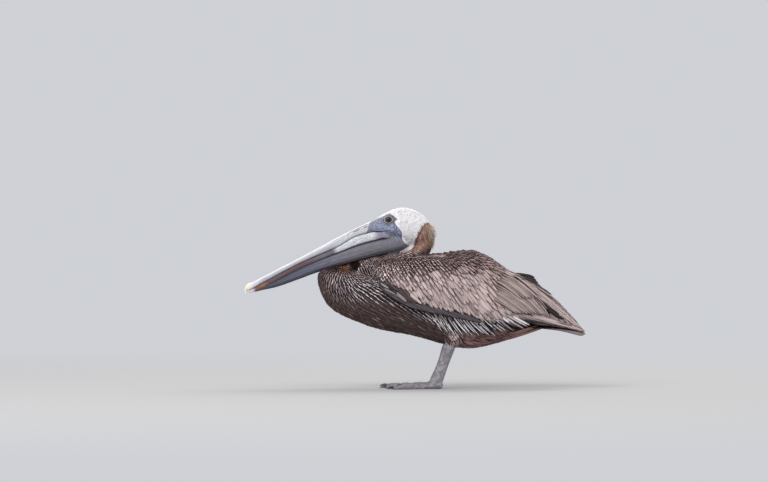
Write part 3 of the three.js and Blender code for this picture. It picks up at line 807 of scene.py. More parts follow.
class Rows:
    """Feather roots in staggered rows that follow the lie over a surface, as far apart as feathers need."""

    CELL = 10.0

    def __init__(self, surface, lie, inside, spread):
        self.surface = surface
        self.lie = lie
        self.inside = inside
        self.along, self.across = spread
        self.cells = {}
        self.kept = []

    def free(self, p, l, w):
        """Whether no root is closer than l along the lie and w across it, on an ellipse a little smaller."""
        reach = int(np.ceil(l / self.CELL))
        i, j, k = (int(c // self.CELL) for c in p)
        for a in range(i - reach, i + reach + 1):
            for b in range(j - reach, j + reach + 1):
                for c in range(k - reach, k + reach + 1):
                    for q, d in self.cells.get((a, b, c), ()):
                        o = (p[0] - q[0], p[1] - q[1], p[2] - q[2])
                        run = o[0] * d[0] + o[1] * d[1] + o[2] * d[2]
                        gap = o[0] * o[0] + o[1] * o[1] + o[2] * o[2] - run * run
                        if (run / l) ** 2 + gap / (w * w) < 0.62:
                            return False
        return True

    def grow(self, seeds):
        """Spreads from the seeds: each root that is kept tries six places before, behind and beside it."""
        front = np.asarray(seeds, float)
        while len(front):
            places, normals = self.surface.snap(front)
            ways = self.lie.way(places, normals)
            sizes = self.lie.at(places)[:, 2:4]
            allowed = self.inside(places, normals)
            new = []
            for p, n, d, (length, width), good in zip(places, normals, ways, sizes, allowed):
                l, w = length * self.along, width * self.across
                if not good or not self.free(p.tolist(), l, w):
                    continue
                cell = tuple(int(c // self.CELL) for c in p)
                self.cells.setdefault(cell, []).append((p.tolist(), d.tolist()))
                self.kept.append((p, n, d))
                side = w * np.cross(n, d)
                half = 0.5 * l * d
                new.append((p + 2 * half, p - 2 * half, p + side + half, p - side + half,
                            p + side - half, p - side - half))
            front = np.array(new).transpose(1, 0, 2).reshape(-1, 3) if new else np.empty((0, 3))
        return tuple(np.array(rows) for rows in zip(*self.kept))


class Cut(NamedTuple):
    """How a kind of feather is shaped and lies.

    widths are its half widths at places along the shaft, camber is how far its edges bend down, thick is
    its ridge, and lift is how far root and tip lie out. It starts off the lie by some degrees, jitter, and
    turns back by a share, follow, at each step. Fine ones have a fuller section.
    """

    places: tuple
    widths: tuple
    camber: float
    thick: float
    lift: tuple = (0, 0)
    follow: float = 0
    jitter: float = 0
    fine: bool = True


LANCE = Cut((0, 0.14, 0.32, 0.52, 0.70, 0.86, 1), (0.35, 0.75, 0.98, 1.0, 0.84, 0.50, 0.06),
            camber=0.30, thick=0.30, lift=(-0.2, 2.4), follow=0.7, jitter=2.5)
STRAP = Cut((0, 0.12, 0.30, 0.50, 0.68, 0.82, 0.93, 1), (0.35, 0.72, 0.95, 1, 0.97, 0.82, 0.50, 0.07),
            camber=0.20, thick=0.28, lift=(0.2, 3.6), follow=0.35, jitter=3.8)
TUFT = Cut((0, 0.35, 0.7, 1), (0.8, 1.0, 0.75, 0.06),
           camber=0.3, thick=0.16, lift=(-0.1, 0.9), follow=0.8, jitter=6, fine=False)
WISP = Cut((0, 0.3, 0.6, 0.85, 1), (0.35, 0.5, 0.42, 0.28, 0.05),
           camber=0.3, thick=0.12, lift=(0.2, 6.5), follow=0.25, jitter=11, fine=False)
BLADE = Cut((0, 0.08, 0.2, 0.34, 0.48, 0.6, 0.7, 0.79, 0.87, 0.93, 0.97, 1),
            (0.35, 0.66, 0.88, 0.97, 1, 1, 0.97, 0.90, 0.78, 0.58, 0.38, 0.08), camber=0.16, thick=0.45)
SPEAR = Cut((0, 0.1, 0.22, 0.36, 0.5, 0.64, 0.76, 0.86, 0.94, 1),
            (0.4, 0.7, 0.88, 0.98, 1, 0.96, 0.84, 0.62, 0.36, 0.06), camber=0.24, thick=0.35)
PADDLE = Cut((0, 0.1, 0.25, 0.4, 0.55, 0.68, 0.79, 0.87, 0.92, 0.96, 0.985, 1),
             (0.4, 0.62, 0.8, 0.9, 0.96, 1, 1, 0.98, 0.92, 0.76, 0.52, 0.12), camber=0.16, thick=0.45)


def centre_lines(surface, lie, roots, normals, ways, lengths, cut):
    """Walks each feather's shaft along the surface in steps, rising as it goes."""
    places, facing = [roots], [normals]
    p, n, d = roots, normals, ways
    for step in np.diff(cut.places):
        p, n = surface.snap(p + d * (lengths * step)[:, None])
        ahead = lie.way(p, n)
        d = unit(d * (1 - cut.follow) + ahead * cut.follow)
        d = unit(d - n * np.sum(d * n, 1, keepdims=True))
        places.append(p)
        facing.append(n)
    low, high = cut.lift
    rise = low + (high - low) * np.array(cut.places) ** 1.15
    places, facing = eased(np.stack(places, 1)), unit(eased(eased(np.stack(facing, 1))))
    return places + facing * rise[None, :, None], facing


def eased(rows):
    """Rows of values along a shaft, the inner ones drawn halfway to the mean of their two neighbours."""
    inner = (rows[:, :-2] + 2 * rows[:, 1:-1] + rows[:, 2:]) / 4
    return np.concatenate([rows[:, :1], inner, rows[:, -1:]], 1)


def vane_mesh(shafts, facing, widths, cut, wobble):
    """Closed vanes along shafts: a thin ridge in the middle and edges that bend down to the body."""
    count, rings = shafts.shape[:2]
    across = np.array([-1, -0.5, 0, 0.5, 1, 0]) if cut.fine else np.array([-1, 0, 1])
    height = np.array([-1, -0.28, 0, -0.28, -1, 0]) if cut.fine else np.array([-1, 0, -1])
    ahead = unit(np.gradient(shafts, axis=1))
    side = unit(np.cross(facing, ahead))
    up = unit(np.cross(ahead, side))
    half = widths[:, None] / 2 * np.array(cut.widths)[None] * wobble
    reach = half[..., None] * across
    raised = half[..., None] * cut.camber * height
    raised[..., 2 if cut.fine else 1] += cut.thick * 0.5
    if cut.fine:
        raised[..., 5] -= cut.thick
    points = shafts[:, :, None] + side[:, :, None] * reach[..., None] + up[:, :, None] * raised[..., None]
    sides = len(across)
    base = np.arange(count)[:, None, None] * rings * sides
    faces = (tube_faces(rings, sides)[None] + base).reshape(-1, 4)
    caps = (tube_ends(rings, sides)[None] + base).reshape(-1, sides)
    vane = np.empty((count, rings, sides, 3))
    vane[..., 0] = across
    vane[..., 1] = np.array(cut.places)[None, :, None]
    return points.reshape(-1, 3), faces, caps, vane


def unwrap(p):
    """Place on an unwrap of the bird's own shape: along the body and round it, each from 0 to 1."""
    x, y, z = p.T
    middle = MIDDLE(x)
    turn = np.arctan2(y, middle - z) / (2 * np.pi) + 0.5
    return np.column_stack([(x + 345) / 690, turn]) * 0.98 + 0.01


class Coat(NamedTuple):
    """Feathers as arrays: shafts, facing, widths, lengths, and the colours of each."""

    shafts: np.ndarray
    facing: np.ndarray
    widths: np.ndarray
    lengths: np.ndarray
    centre: np.ndarray
    margin: np.ndarray
    share: np.ndarray


def coat_piece(name, coat, cut, rng, material):
    """One piece of plumage: all its vanes in one mesh, with what the material reads and the OFBake map."""
    count, rings = coat.shafts.shape[:2]
    wobble = rng.normal(1, 0.05, (count, rings)).clip(0.85, 1.15)
    points, faces, caps, vane = vane_mesh(coat.shafts, coat.facing, coat.widths, cut, wobble)
    piece = new_piece(name, points, faces, material, caps)
    sides = vane.shape[2]
    vane[..., 2] = rng.uniform(0, 1, count)[:, None, None]
    span = np.empty_like(vane)
    span[..., 0] = (coat.widths / 2)[:, None, None]
    span[..., 1] = coat.lengths[:, None, None]
    span[..., 2] = coat.share[:, None, None]
    opaque = np.ones((count, 1))
    paint(piece, "centre", np.repeat(np.hstack([coat.centre, opaque]), rings * sides, 0))
    paint(piece, "margin", np.repeat(np.hstack([coat.margin, opaque]), rings * sides, 0))
    paint(piece, "vane", vane.reshape(-1, 3))
    paint(piece, "span", span.reshape(-1, 3))
    root_uv = np.repeat(unwrap(coat.shafts[:, 0]), rings * sides, 0)
    add_uv(piece, "OFBake", root_uv + 0.0015 * vane.reshape(-1, 3)[:, :2])
    return piece


# The least cosine between the facings of a feather's neighbouring rings; one that bends more is made shorter.
SHARPEST_BEND = 0.9


def tract_coat(surface, lie, found, cut, rng, colours, stop=None, sunk=None):
    """The feathers of a tract from their roots; stop says how long each may be and sunk how deep it lies."""
    roots, normals, ways = found
    rows = lie.at(roots)
    count = len(roots)
    lengths = rows[:, 2] * rng.normal(1, 0.13, count).clip(0.7, 1.35)
    widths = rows[:, 3] * rng.normal(1, 0.14, count).clip(0.65, 1.35)
    if stop:
        room = stop(roots, ways) + rng.normal(0, 1.5, count)
        keep = room > 0.35 * lengths
        lengths = np.minimum(lengths, room)
        roots, normals, ways, lengths, widths = (v[keep] for v in (roots, normals, ways, lengths, widths))
        count = keep.sum()
    turn = np.radians(rng.normal(0, cut.jitter, count))[:, None]
    ways = unit(ways * np.cos(turn) + np.cross(normals, ways) * np.sin(turn))
    roots, normals = surface.snap(roots + ways * (lengths * rng.normal(0, 0.05, count))[:, None])
    shafts, facing = centre_lines(surface, lie, roots, normals, ways, lengths, cut)
    bent = np.sum(facing[:, :-1] * facing[:, 1:], -1).min(1) < SHARPEST_BEND
    lengths[bent] *= 0.6
    again = roots[bent], normals[bent], ways[bent], lengths[bent]
    shafts[bent], facing[bent] = centre_lines(surface, lie, *again, cut)
    shafts = shafts + facing * rng.uniform(0, 0.35, (count, 1, 1))
    if sunk:
        shafts = shafts - facing * sunk(shafts[:, :1])[..., None]
    shown = lie.at(shafts[:, -2])
    centre, margin, share = colours(shafts[:, -2], rng, shown[:, 4:7], shown[:, 7:10], shown[:, 10])
    return Coat(shafts, facing, widths, lengths, centre, margin, share)


def part_of(coat, keep):
    """The feathers of a coat that a mask keeps."""
    return Coat(*(values[keep] for values in coat))


# ---- tracts


def spot_of(p, x, z, reach):
    """1 within a round spot of the side view and 0 outside it."""
    return smooth(1.2, 0.85, np.hypot(p[:, 0] - x, p[:, 2] - z) / reach)


def body_colours(p, rng, centre, margin, share):
    """Striped above a line, plain below it, with the rust patch, and painted shadow in the hollow under the
    pouch.
    """
    count = len(p)
    plain = smooth(3, -4, p[:, 2] - STREAK_END(p[:, 0]) + rng.normal(0, 1.5, count)) * smooth(74, 68, p[:, 0])
    pale = rng.uniform(0, 1, count) < 0.10
    centre = mix(centre, mix(BELLY, BELLY_FLECK, pale), plain)
    margin = mix(margin, BELLY_DARK, plain)
    share = mix(share[:, None], [0.55], plain)[:, 0]
    # the rust patch is the plumage's own colour; the spot in the hollow is painted shadow
    for x, z, reach, tone in ((-140, 239, 11, RUST), (-121, 245, 12, HOLLOW_SHADOW)):
        inside = spot_of(p, x, z, reach)
        centre, margin = mix(centre, tone, inside), mix(margin, np.array(tone) * 0.4, inside)
    back = mix(centre, BACK_DARK, far_tip(p))
    tone = rng.normal(1, 0.15, (count, 1)).clip(0.6, 1.4)
    return back * tone, margin * tone, share * rng.normal(1, 0.16, count).clip(0.5, 1.5)


def far_tip(p):
    """1 above the near wing's upper edge, where the far wing's dark feathers show."""
    x, _, z = p.T
    return smooth(-3, 1, z - BACK_EDGE(x)) * smooth(196, 206, x)


def wing_colours(p, rng, centre, margin, share):
    """Silvery feathers of uneven tone, a few of them dark, and the far wing's dark tip."""
    x, _, z = p.T
    count = len(p)
    tone = rng.normal(1, 0.12, (count, 1)).clip(0.65, 1.35)
    warm = rng.normal(0, 0.016, (count, 1)) * np.array([1.0, 0.0, -0.6])
    dull = (rng.uniform(0, 1, count) < 0.12) * rng.uniform(0.3, 0.7, count)
    dark = np.maximum(far_tip(p), dull)
    ridge = bump_at(z - SHOULDER_LINE(x), 0, 2.4) * smooth(-38, -28, x)
    ridge = ridge * smooth(70, 54, x)
    centre, margin = mix(centre, PINK_EDGE, ridge), mix(margin, BACK_WARM, ridge * 0.8)
    centre, margin = mix(centre * (tone + warm), UMBER, dark), mix(margin, INK, far_tip(p))
    edge = rng.uniform(0.45, 1.3, (count, 1))
    return np.maximum(centre, 0.01), margin * edge, share * rng.uniform(0.62, 1.15, count)


def head_colours(p, rng, centre, margin, share):
    """White in front of the nape's line, brown behind it, and a few dark flecks on the crown."""
    x, _, z = p.T
    count = len(p)
    past = x - NAPE_FRONT(z)
    brown = smooth(-1.0, 1.0, past + rng.normal(0, 0.8, count))
    back = smooth(16, 36, x + (z - 300) * 0.15)
    nape = mix(mix(NAPE, NAPE_GOLD, back), NAPE_DARK, smooth(9, 2, past) * 0.6)
    nape = nape * rng.normal(1, 0.22, (count, 1)).clip(0.5, 1.6)
    white = np.array(WHITE) * rng.normal(0.98, 0.03, (count, 1))
    fleck = (rng.uniform(0, 1, count) < 0.075) * smooth(340, 350, z)
    white = mix(white, CROWN_FLECK, fleck * 0.8)
    return mix(white, nape, brown), mix(white * 0.94, nape * 0.6, brown), 0.8 - 0.25 * brown


def crest_colours(p, rng, centre, margin, share):
    """Straw-coloured wisps, the lower ones browner."""
    pale = mix(NAPE_GOLD, CREAM, smooth(278, 305, p[:, 2]) * rng.uniform(0.2, 1, len(p)))
    pale = pale * rng.normal(1.0, 0.2, (len(p), 1)).clip(0.6, 1.5)
    return pale, pale * 0.75, share


# Regions of the skin, by places and normals.


def head_region(p, n):
    """The feathered head, down to a line that climbs to the nape."""
    x, _, z = p.T
    feathered = (on_face(p) < 0.5) & (x > -84) & (x < 48)
    return feathered & (z > 268 + 0.35 * np.maximum(x - 10, 0))


def crest_region(p, n):
    """The back of the head and nape, where the skin faces to the rear."""
    x, _, z = p.T
    return (x > 26) & (x < 50) & (z > 288) & (z < 330) & (n[:, 0] > 0.45)


def body_region(p, n):
    """Breast, belly, flank and back, less the wing, the head, the shin, the pouch and the flank's own row."""
    x, y, z = p.T
    head = (z > 276) & (x < 46) & (x > -90)
    shin = (z < 88) & (np.abs(y) > 30) & (x > 52) & (x < 86)
    pouch = (z > POUCH.low(x) + 0.5) & (x < -10) & (x > -100)
    row = (x > 64) & (z > 126) & (x < 232) & (np.abs(y) > 20) & (z < 160)
    return (on_wing(p, 14, 12) < 0.5) & ~head & ~shin & ~pouch & ~row & (z > 78) & (x < 236)


def wing_region(p, n):
    """The folded wing and a little way round its borders."""
    return (on_wing(p, 4, -3) > 0.5) & (p[:, 0] < 236)


def tip_region(p, n):
    """The upper face of the folded tips."""
    x, _, z = p.T
    return (x > 224) & (n[:, 2] > 0.05) & (z > 116)


def everywhere(p):
    """All of a tract."""
    return np.ones(len(p), bool)


def tip_room(roots, ways):
    """How far a feather may reach before it passes the end of the folded wings."""
    return 341 - roots[:, 0]


def under_quills(roots):
    """How far the small feathers give way, in mm, where long ones lie on them."""
    below = smooth(240, 226, roots[..., 2]) * smooth(2, -10, roots[..., 2] - BACK_EDGE(roots[..., 0]))
    return 2.2 * smooth(128, 152, roots[..., 0]) * below


def covert_room(roots, ways):
    """How far a feather of the wing may reach before its tip crosses the lower edge of the small coverts."""
    room = np.full(len(roots), 90.0)
    for reach in np.arange(90, 0, -2.0):
        tip = roots + ways * reach
        room = np.where(tip[:, 2] < COVERT_EDGE(tip[:, 0]), reach, room)
    return room


class Tract(NamedTuple):
    """A kind of plumage over one region.

    inside tests places and normals, seeds start the rows and spread sets how close they stand. colours turns
    the lie's centre, margin and share into each feather's own, parts names the pieces by a test of the roots,
    and stop and sunk are as in tract_coat.
    """

    lie: Lie
    inside: object
    seeds: tuple
    spread: tuple
    cut: Cut
    colours: object
    kind: str
    slot: str
    parts: dict
    stop: object = None
    sunk: object = None


TRACTS = [
    Tract(BODY_LIE, body_region, ((-190, 0, 215), (0, -85, 150), (0, 85, 150), (100, 0, 80), (0, 0, 262)),
          (0.36, 0.84), LANCE, body_colours, "body", "body_feathers",
          {"plumage_breast": lambda p: p[:, 0] < -60,
           "plumage_flank_left": lambda p: (p[:, 0] >= -60) & (p[:, 1] < 0),
           "plumage_flank_right": lambda p: (p[:, 0] >= -60) & (p[:, 1] >= 0)}),
    Tract(WING_LIE, wing_region, ((50, -105, 200), (50, 105, 200)),
          (0.26, 0.80), STRAP, wing_colours, "wing", "wing_feathers",
          {"plumage_wing_left": lambda p: p[:, 1] < 0, "plumage_wing_right": lambda p: p[:, 1] >= 0},
          covert_room, under_quills),
    Tract(WING_LIE, tip_region, ((240, -15, 200), (240, 15, 200), (280, 0, 175), (310, 0, 145)),
          (0.22, 0.74), STRAP._replace(lift=(-0.3, 1.3), follow=0.5, jitter=2.0), wing_colours,
          "wing", "wing_feathers", {"plumage_tips": everywhere}, tip_room),
    Tract(HEAD_LIE, head_region, ((-20, 0, 361), (-10, -30, 310), (-10, 30, 310), (36, 0, 310)),
          (0.27, 0.64), TUFT, head_colours, "head", "head_feathers", {"plumage_head": everywhere}),
    Tract(HEAD_LIE, crest_region, ((44, 0, 305),),
          (0.30, 1.0), WISP, crest_colours, "crest", "neck_feathers", {"plumage_crest": everywhere}),
]


def build_plumage(settings):
    """Each tract's feathers, rooted in rows on the skin."""
    surface = Surface(bpy.data.objects["skin"].data)
    rng = np.random.default_rng(settings.seed)
    materials = {kind: feather_material(kind) for kind in ("body", "wing", "head", "crest")}
    for tract in TRACTS:
        found = Rows(surface, tract.lie, tract.inside, tract.spread).grow(tract.seeds)
        coat = tract_coat(surface, tract.lie, found, tract.cut, rng, tract.colours, tract.stop, tract.sunk)
        for name, test in tract.parts.items():
            keep = test(coat.shafts[:, 0])
            coat_piece(name, part_of(coat, keep), tract.cut, rng, materials[tract.kind])


# ---- flight feathers


class Quill(NamedTuple):
    """A long feather by root and tip in the side view. bow lifts its middle; level is how far it lies out."""

    root: tuple
    tip: tuple
    width: float
    bow: float
    level: float
    centre: tuple
    margin: tuple
    share: float


def between(a, b, t):
    """a (1 - t) + b t, for numbers or tuples."""
    return tuple(np.array(a) * (1 - t) + np.array(b) * t) if isinstance(a, tuple) else a + (b - a) * t


def fan(first, last, count):
    """Quills evenly between two, given as rows of a quill's values, both counted."""
    steps = np.linspace(0, 1, count)
    return [Quill(*(between(a, b, t) for a, b in zip(first, last))) for t in steps]


def uneven(quills):
    """The same feathers with tips, widths and shares that differ a little from one to the next."""
    made = []
    for i, q in enumerate(quills):
        tip = (q.tip[0] + 2.4 * np.sin(5.1 * i), q.tip[1] + 3.0 * np.sin(3.7 * i + 1))
        width, share = q.width * (1 + 0.14 * np.sin(2.9 * i)), q.share * (1 + 0.24 * np.sin(4.3 * i))
        made.append(q._replace(tip=tip, width=width, share=share))
    return made


def wing_out(x, z):
    """Half width of the folded wings at a place of the side view: |y/side|^p + |dz/half|^p = 1, p = 2.25."""
    middle = WING_WAIST(x)
    half = np.where(z > middle, WING_HIGH(x) - middle, middle - WING_LOW(x))
    part = np.clip(np.abs(z - middle) / np.maximum(half, 1), 0, 0.985)
    return WING_SIDE(x) * (1 - part**2.25) ** (1 / 2.25)


WING_QUILLS = [
    # dark fill between the bundles, painted as the shadow between them, and the long feathers of the hand
    # beneath them
    *fan(((196, 200), (298, 139), 15, 2, -4.2, INK, INK, 0.6),
         ((176, 160), (272, 141), 13, 0, -4, INK, INK, 0.6), 4),
    *fan(((204, 138), (300, 126), 9, -2, -3.6, QUILL, INK, 0.5),
         ((200, 152), (339, 113), 10, -1, -2.4, QUILL_PALE, QUILL, 0.62), 6),
    *fan(((216, 157), (324, 126), 9, 0, -2.5, QUILL_PALE, INK, 0.55),
         ((220, 149), (338, 115), 8.5, 0, -1.4, QUILL_BRIGHT, TERTIAL, 0.78), 4),
    # beside the tail
    *fan(((226, 131), (304, 121), 8, -1, -2.6, QUILL, INK, 0.55),
         ((230, 140), (336, 111), 8, -1, -2.2, QUILL, INK, 0.55), 5),
    *fan(((250, 129), (322, 113.5), 6, -1, -2.6, QUILL, INK, 0.5),
         ((256, 130), (338, 108.5), 6, -1, -2.4, QUILL, INK, 0.5), 3),
    # the upper bundle
    *fan(((214, 196), (296, 139), 10, 1, -3, QUILL_PALE, QUILL, 0.6),
         ((206, 226), (339, 114), 10, 4, -0.6, QUILL_PALE, INK, 0.6), 9),
    # dark quills painted as the shadow in the gap below the upper bundle
    *fan(((250, 172), (286, 144), 7, 0, -0.7, INK, BLACK, 0.6),
         ((258, 162), (294, 138), 8, 0, -0.7, INK, BLACK, 0.6), 3),
    # the tertials
    *fan(((146, 186), (204, 150), 9, 2, -1.8, TERTIAL, UMBER, 0.58),
         ((164, 216), (250, 147), 9, 3, -0.8, TERTIAL, UMBER, 0.5), 8),
    *fan(((192, 204), (252, 149), 9, 2, -2, QUILL_PALE, QUILL, 0.6),
         ((200, 214), (265, 145), 9, 2, -1.4, TERTIAL, QUILL, 0.6), 4),
    Quill((196, 224), (267, 143), 8, 3, -0.6, UMBER, PINK_EDGE, 0.55),
    Quill((190, 228), (262, 158), 8, 3, -0.2, UMBER, SILVER_EDGE, 0.6),
    *fan(((152, 222), (212, 178), 8.5, 3, -0.2, SILVER_EDGE, UMBER, 0.6),
         ((176, 232), (244, 180), 8.5, 3, 0.4, TERTIAL, UMBER, 0.52), 6),
    Quill((168, 224), (226, 182), 8, 3, 0.5, SILVER, SILVER_EDGE, 0.75),
    Quill((184, 236), (250, 182), 6, 3, 0.6, PINK_EDGE, UMBER, 0.55),
    # the dark coverts of the hand, a band under the pale ones
    *fan(((-62, 192), (10, 158), 11, -2, -2.8, BAND, INK, 0.55),
         ((70, 156), (132, 133), 11, -1, -2.2, BAND, INK, 0.6), 9),
    # the bastard wing
    *fan(((-76, 208), (-46, 186), 7, 0, -1.4, ALULA, INK, 0.62),
         ((-66, 218), (-34, 196), 7, 0, -0.6, BAND, INK, 0.6), 4),
    *fan(((-70, 198), (-20, 170), 8, 1, -1.8, BAND, INK, 0.6),
         ((-66, 204), (-30, 182), 8, 0, -1.2, ALULA, INK, 0.62), 3),
    *fan(((-44, 208), (-10, 174), 8, 0, -1, UMBER, INK, 0.66),
         ((-30, 204), (2, 171), 8, 0, -0.6, UMBER, INK, 0.66), 3),
    Quill((-68, 203), (-40, 189), 4, 0, -0.3, ALULA_PALE, ALULA, 0.6),
    Quill((-72, 212), (-52, 200), 5, 0, -0.1, ALULA_PALE, ALULA, 0.5),
    # a dark quill painted as the shadow at the bastard wing
    Quill((-62, 211), (-42, 197), 7, 0, 0.2, INK, BLACK, 0.6),
    Quill((-43, 196), (-17, 174), 7.5, 0, 0.2, ALULA_PALE, ALULA, 0.66),
    Quill((-18, 196), (12, 170), 7, 0, 0.3, SILVER, SILVER_EDGE, 0.74),
]
# Feathers of the far wing that stand a little above the back.
FAR_QUILLS = fan(((196, 206), (258, 193), 12, 4, 14, UMBER, INK, 0.6),
                 ((184, 227), (240, 221), 9, 2, 11, UMBER, INK, 0.6), 6)


# The striped feathers of the flank, which hang in a row from under the wing.
FLANK_QUILLS = uneven([
    *fan(((24, 155), (52, 121), 6.8, -1, 0, FLANK_WHITE, FLANK_DARK, 0.24),
         ((42, 154), (68, 113), 7.2, -1, 0, FLANK_WHITE, FLANK_DARK, 0.26), 5),
    *fan(((48, 153), (75, 110), 7.4, -2, 0, FLANK_WHITE, FLANK_DARK, 0.26),
         ((124, 141), (161, 109), 8.2, -2, 0, FLANK_WHITE, FLANK_DARK, 0.27), 14),
    *fan(((130, 144), (170, 110), 8.8, -2, 0, FLANK_WHITE, FLANK_DARK, 0.29),
         ((182, 151), (228, 126), 8.6, -1, 0, FLANK_DIM, FLANK_DARK, 0.42), 9),
])


def quill_values(quills, *names):
    """An array of each named value, with a row for each quill."""
    return tuple(np.array([getattr(q, name) for q in quills], float) for name in names)


def side_lines(quills, t):
    """Shafts in the side view: a point is at root + t (tip - root) + 4 bow t (1 - t) upwards."""
    root, tip, bow = quill_values(quills, "root", "tip", "bow")
    place = root[:, None] + (tip - root)[:, None] * t[:, None]
    return place[..., 0], place[..., 1] + 4 * bow[:, None] * t * (1 - t)


def uneven_level(quills):
    """How far out each quill lies, in mm, a little unlike its neighbours."""
    return (quill_values(quills, "level")[0] + 0.25 * np.sin(7.3 * np.arange(len(quills))))[:, None]


def side_coat(quills, shafts, facing):
    """The coat of quills along given shafts, in tones that differ from one to the next."""
    root, tip, width, share = quill_values(quills, "root", "tip", "width", "share")
    centre, margin = quill_values(quills, "centre", "margin")
    lengths = np.linalg.norm(tip - root, axis=-1)
    tone = 1 + 0.26 * np.sin(2.4 * np.arange(len(quills)))[:, None]
    return Coat(shafts, facing, width, lengths, centre * tone, margin / tone, share)


def wing_coat(quills, hand):
    """Quills on a folded wing: they follow its half width, and their roots dive under the small feathers."""
    t = np.array(BLADE.places)
    x, z = side_lines(quills, t)
    slope_x = (wing_out(x + 1.5, z) - wing_out(x - 1.5, z)) / 3
    slope_z = (wing_out(x, z + 1.5) - wing_out(x, z - 1.5)) / 3
    steep = np.maximum(1, np.hypot(slope_x, slope_z) / 2.2)
    facing = unit(np.stack([-slope_x, hand / steep, -slope_z], -1))
    root = quill_values(quills, "root")[0]
    covered = np.where((root[:, :1] < 192) | (root[:, 1:] < 140), 0.35, 0.18)
    level = uneven_level(quills)
    rise = level + 1.2 * t - np.maximum(level + 5.0, 0) * smooth(covered, 0, t)
    shafts = np.stack([x, hand * wing_out(x, z), z], -1) + facing * rise[..., None]
    return side_coat(quills, shafts, facing)


def flank_coat(quills, hand, surface):
    """Quills of the flank, each on a straight line fitted to the surface beneath it by least squares.

    Only a part of each is fitted, so that it lies on one body alone: the tip's part in front, below the
    wing, and the root's part behind. The line then moves out until it clears that part of the surface.
    """
    t = np.array(SPEAR.places)
    x, z = side_lines(quills, t)
    hits = [surface.from_side(a, b, hand) for a, b in zip(x.ravel(), z.ravel())]
    ground, facing = (np.array(part).reshape(*x.shape, 3) for part in zip(*hits))
    reach = hand * ground[..., 1]
    fitted = np.where(quill_values(quills, "root")[0][:, :1] > 128, t < 0.66, t > 0.44)

    def mean(values):
        return np.sum(fitted * values, 1, keepdims=True) / fitted.sum(1, keepdims=True)

    off = t - mean(t)
    out = mean(reach) + off * mean(off * (reach - mean(reach))) / mean(off**2)
    out = out + (fitted * (reach - out)).max(1, keepdims=True)
    out = np.where(t < 0.44, np.minimum(out, reach + 0.4), out)
    facing = unit(np.stack([mean(facing[..., k]) for k in range(3)], -1))
    facing = np.broadcast_to(facing, ground.shape)
    rise = uneven_level(quills) + 2.6 * t - 2.2 * smooth(0.30, 0, t)
    shafts = np.stack([x, hand * out, z], -1) + facing * rise[..., None]
    return side_coat(quills, shafts, facing)


def raised_coat(quills, hand):
    """Quills that stand above the back, their blades upright and each a fixed way out from the middle."""
    x, z = side_lines(quills, np.array(BLADE.places))
    out = np.broadcast_to(hand * (9 + quill_values(quills, "level")[0][:, None]), x.shape)
    facing = np.broadcast_to(unit(np.array([0, hand, 0.45])), (*x.shape, 3))
    return side_coat(quills, np.stack([x, out, z], -1), facing)


def fanned(count):
    """Places across a fan from -1 on the left to 1 on the right, the outermost first and the middle last."""
    s = np.linspace(-1, 1, count)
    return s[np.argsort(-np.abs(s), kind="stable")][:, None]


def like_coat(x, y, z, facing, size, colour, vary, edge):
    """Like feathers along shafts at x, y, z, whose tones vary by a share; edge dims their margins."""
    count = len(x)
    facing = unit(np.stack(np.broadcast_arrays(*facing, x)[:3], -1))
    width, length, share = (np.full(count, value) for value in (*size, 0.66))
    tint = np.array(colour) * (1 + vary * np.cos(np.arange(count) * 2.4))[:, None]
    return Coat(np.stack([x, y, z], -1), facing, width, length, tint, tint * edge, share)


def tail_coat(count=18):
    """The fan of the tail: its feathers spread with t and droop by its cube, the middle ones on top."""
    s, t = fanned(count), np.array(PADDLE.places)
    x = 206 + (135 - 9 * np.abs(s) ** 1.6) * t
    y = s * (13 + 39 * t)
    z = 123 - 16.2 * t**3 - 1.3 * s**2 + 0.28 * np.arange(count)[:, None] * (1 - 0.5 * t)
    return like_coat(x, y, z, (0.04, 0.10 * s, 1.0), (15.0, 135.0), TAIL_TONE, 0.12, 0.35)


def vent_coat(count=11):
    """Feathers under the root of the tail, in a trough whose sides rise with the square of s."""
    s, t = fanned(count), np.array(SPEAR.places)
    x = 172 + 10 * s**2 + (82 - 12 * s**2 - 5 * np.cos(7 * s)) * t
    y = s * (34 - 16 * t)
    z = 91.5 + 14.5 * s**2 + (22 - 8 * s**2) * t + 6 * t**2 + 2.5 * smooth(0.3, 0, t)
    return like_coat(x, y, z, (0.3, 0.75 * s, -1.0), (13.0, 82.0), VENT, 0.15, 0.2)


def build_quills(settings):
    """The long feathers of both wings, the far wing's raised ones, and the striped row on each flank."""
    surface = Surface(bpy.data.objects["skin"].data)
    rng = np.random.default_rng(settings.seed + 1)
    flight, striped = feather_material("flight"), feather_material("flank")
    for hand, name in SIDES:
        coat_piece("quills_" + name, wing_coat(WING_QUILLS, hand), BLADE, rng, flight)
        coat = flank_coat(FLANK_QUILLS, hand, surface)
        coat_piece("flank_stripes_" + name, coat, SPEAR, rng, striped)
    coat_piece("quills_raised", raised_coat(FAR_QUILLS, 1), BLADE, rng, flight)


def build_tail(settings):
    """The fan of the tail and the feathers beneath its root."""
    rng = np.random.default_rng(settings.seed + 2)
    tail = coat_piece("tail_feathers", tail_coat(), PADDLE, rng, feather_material("tail"))
    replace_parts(tail, "tail")
    coat_piece("vent_feathers", vent_coat(), SPEAR, rng, feather_material("vent"))


# ---- bill pieces


def tucked(p, rim):
    """A tube whose rear dives under the skin behind its rim."""
    return p - outward(p) * (2.4 * smooth(rim - 1, rim + 12, p[..., 0]))[..., None]


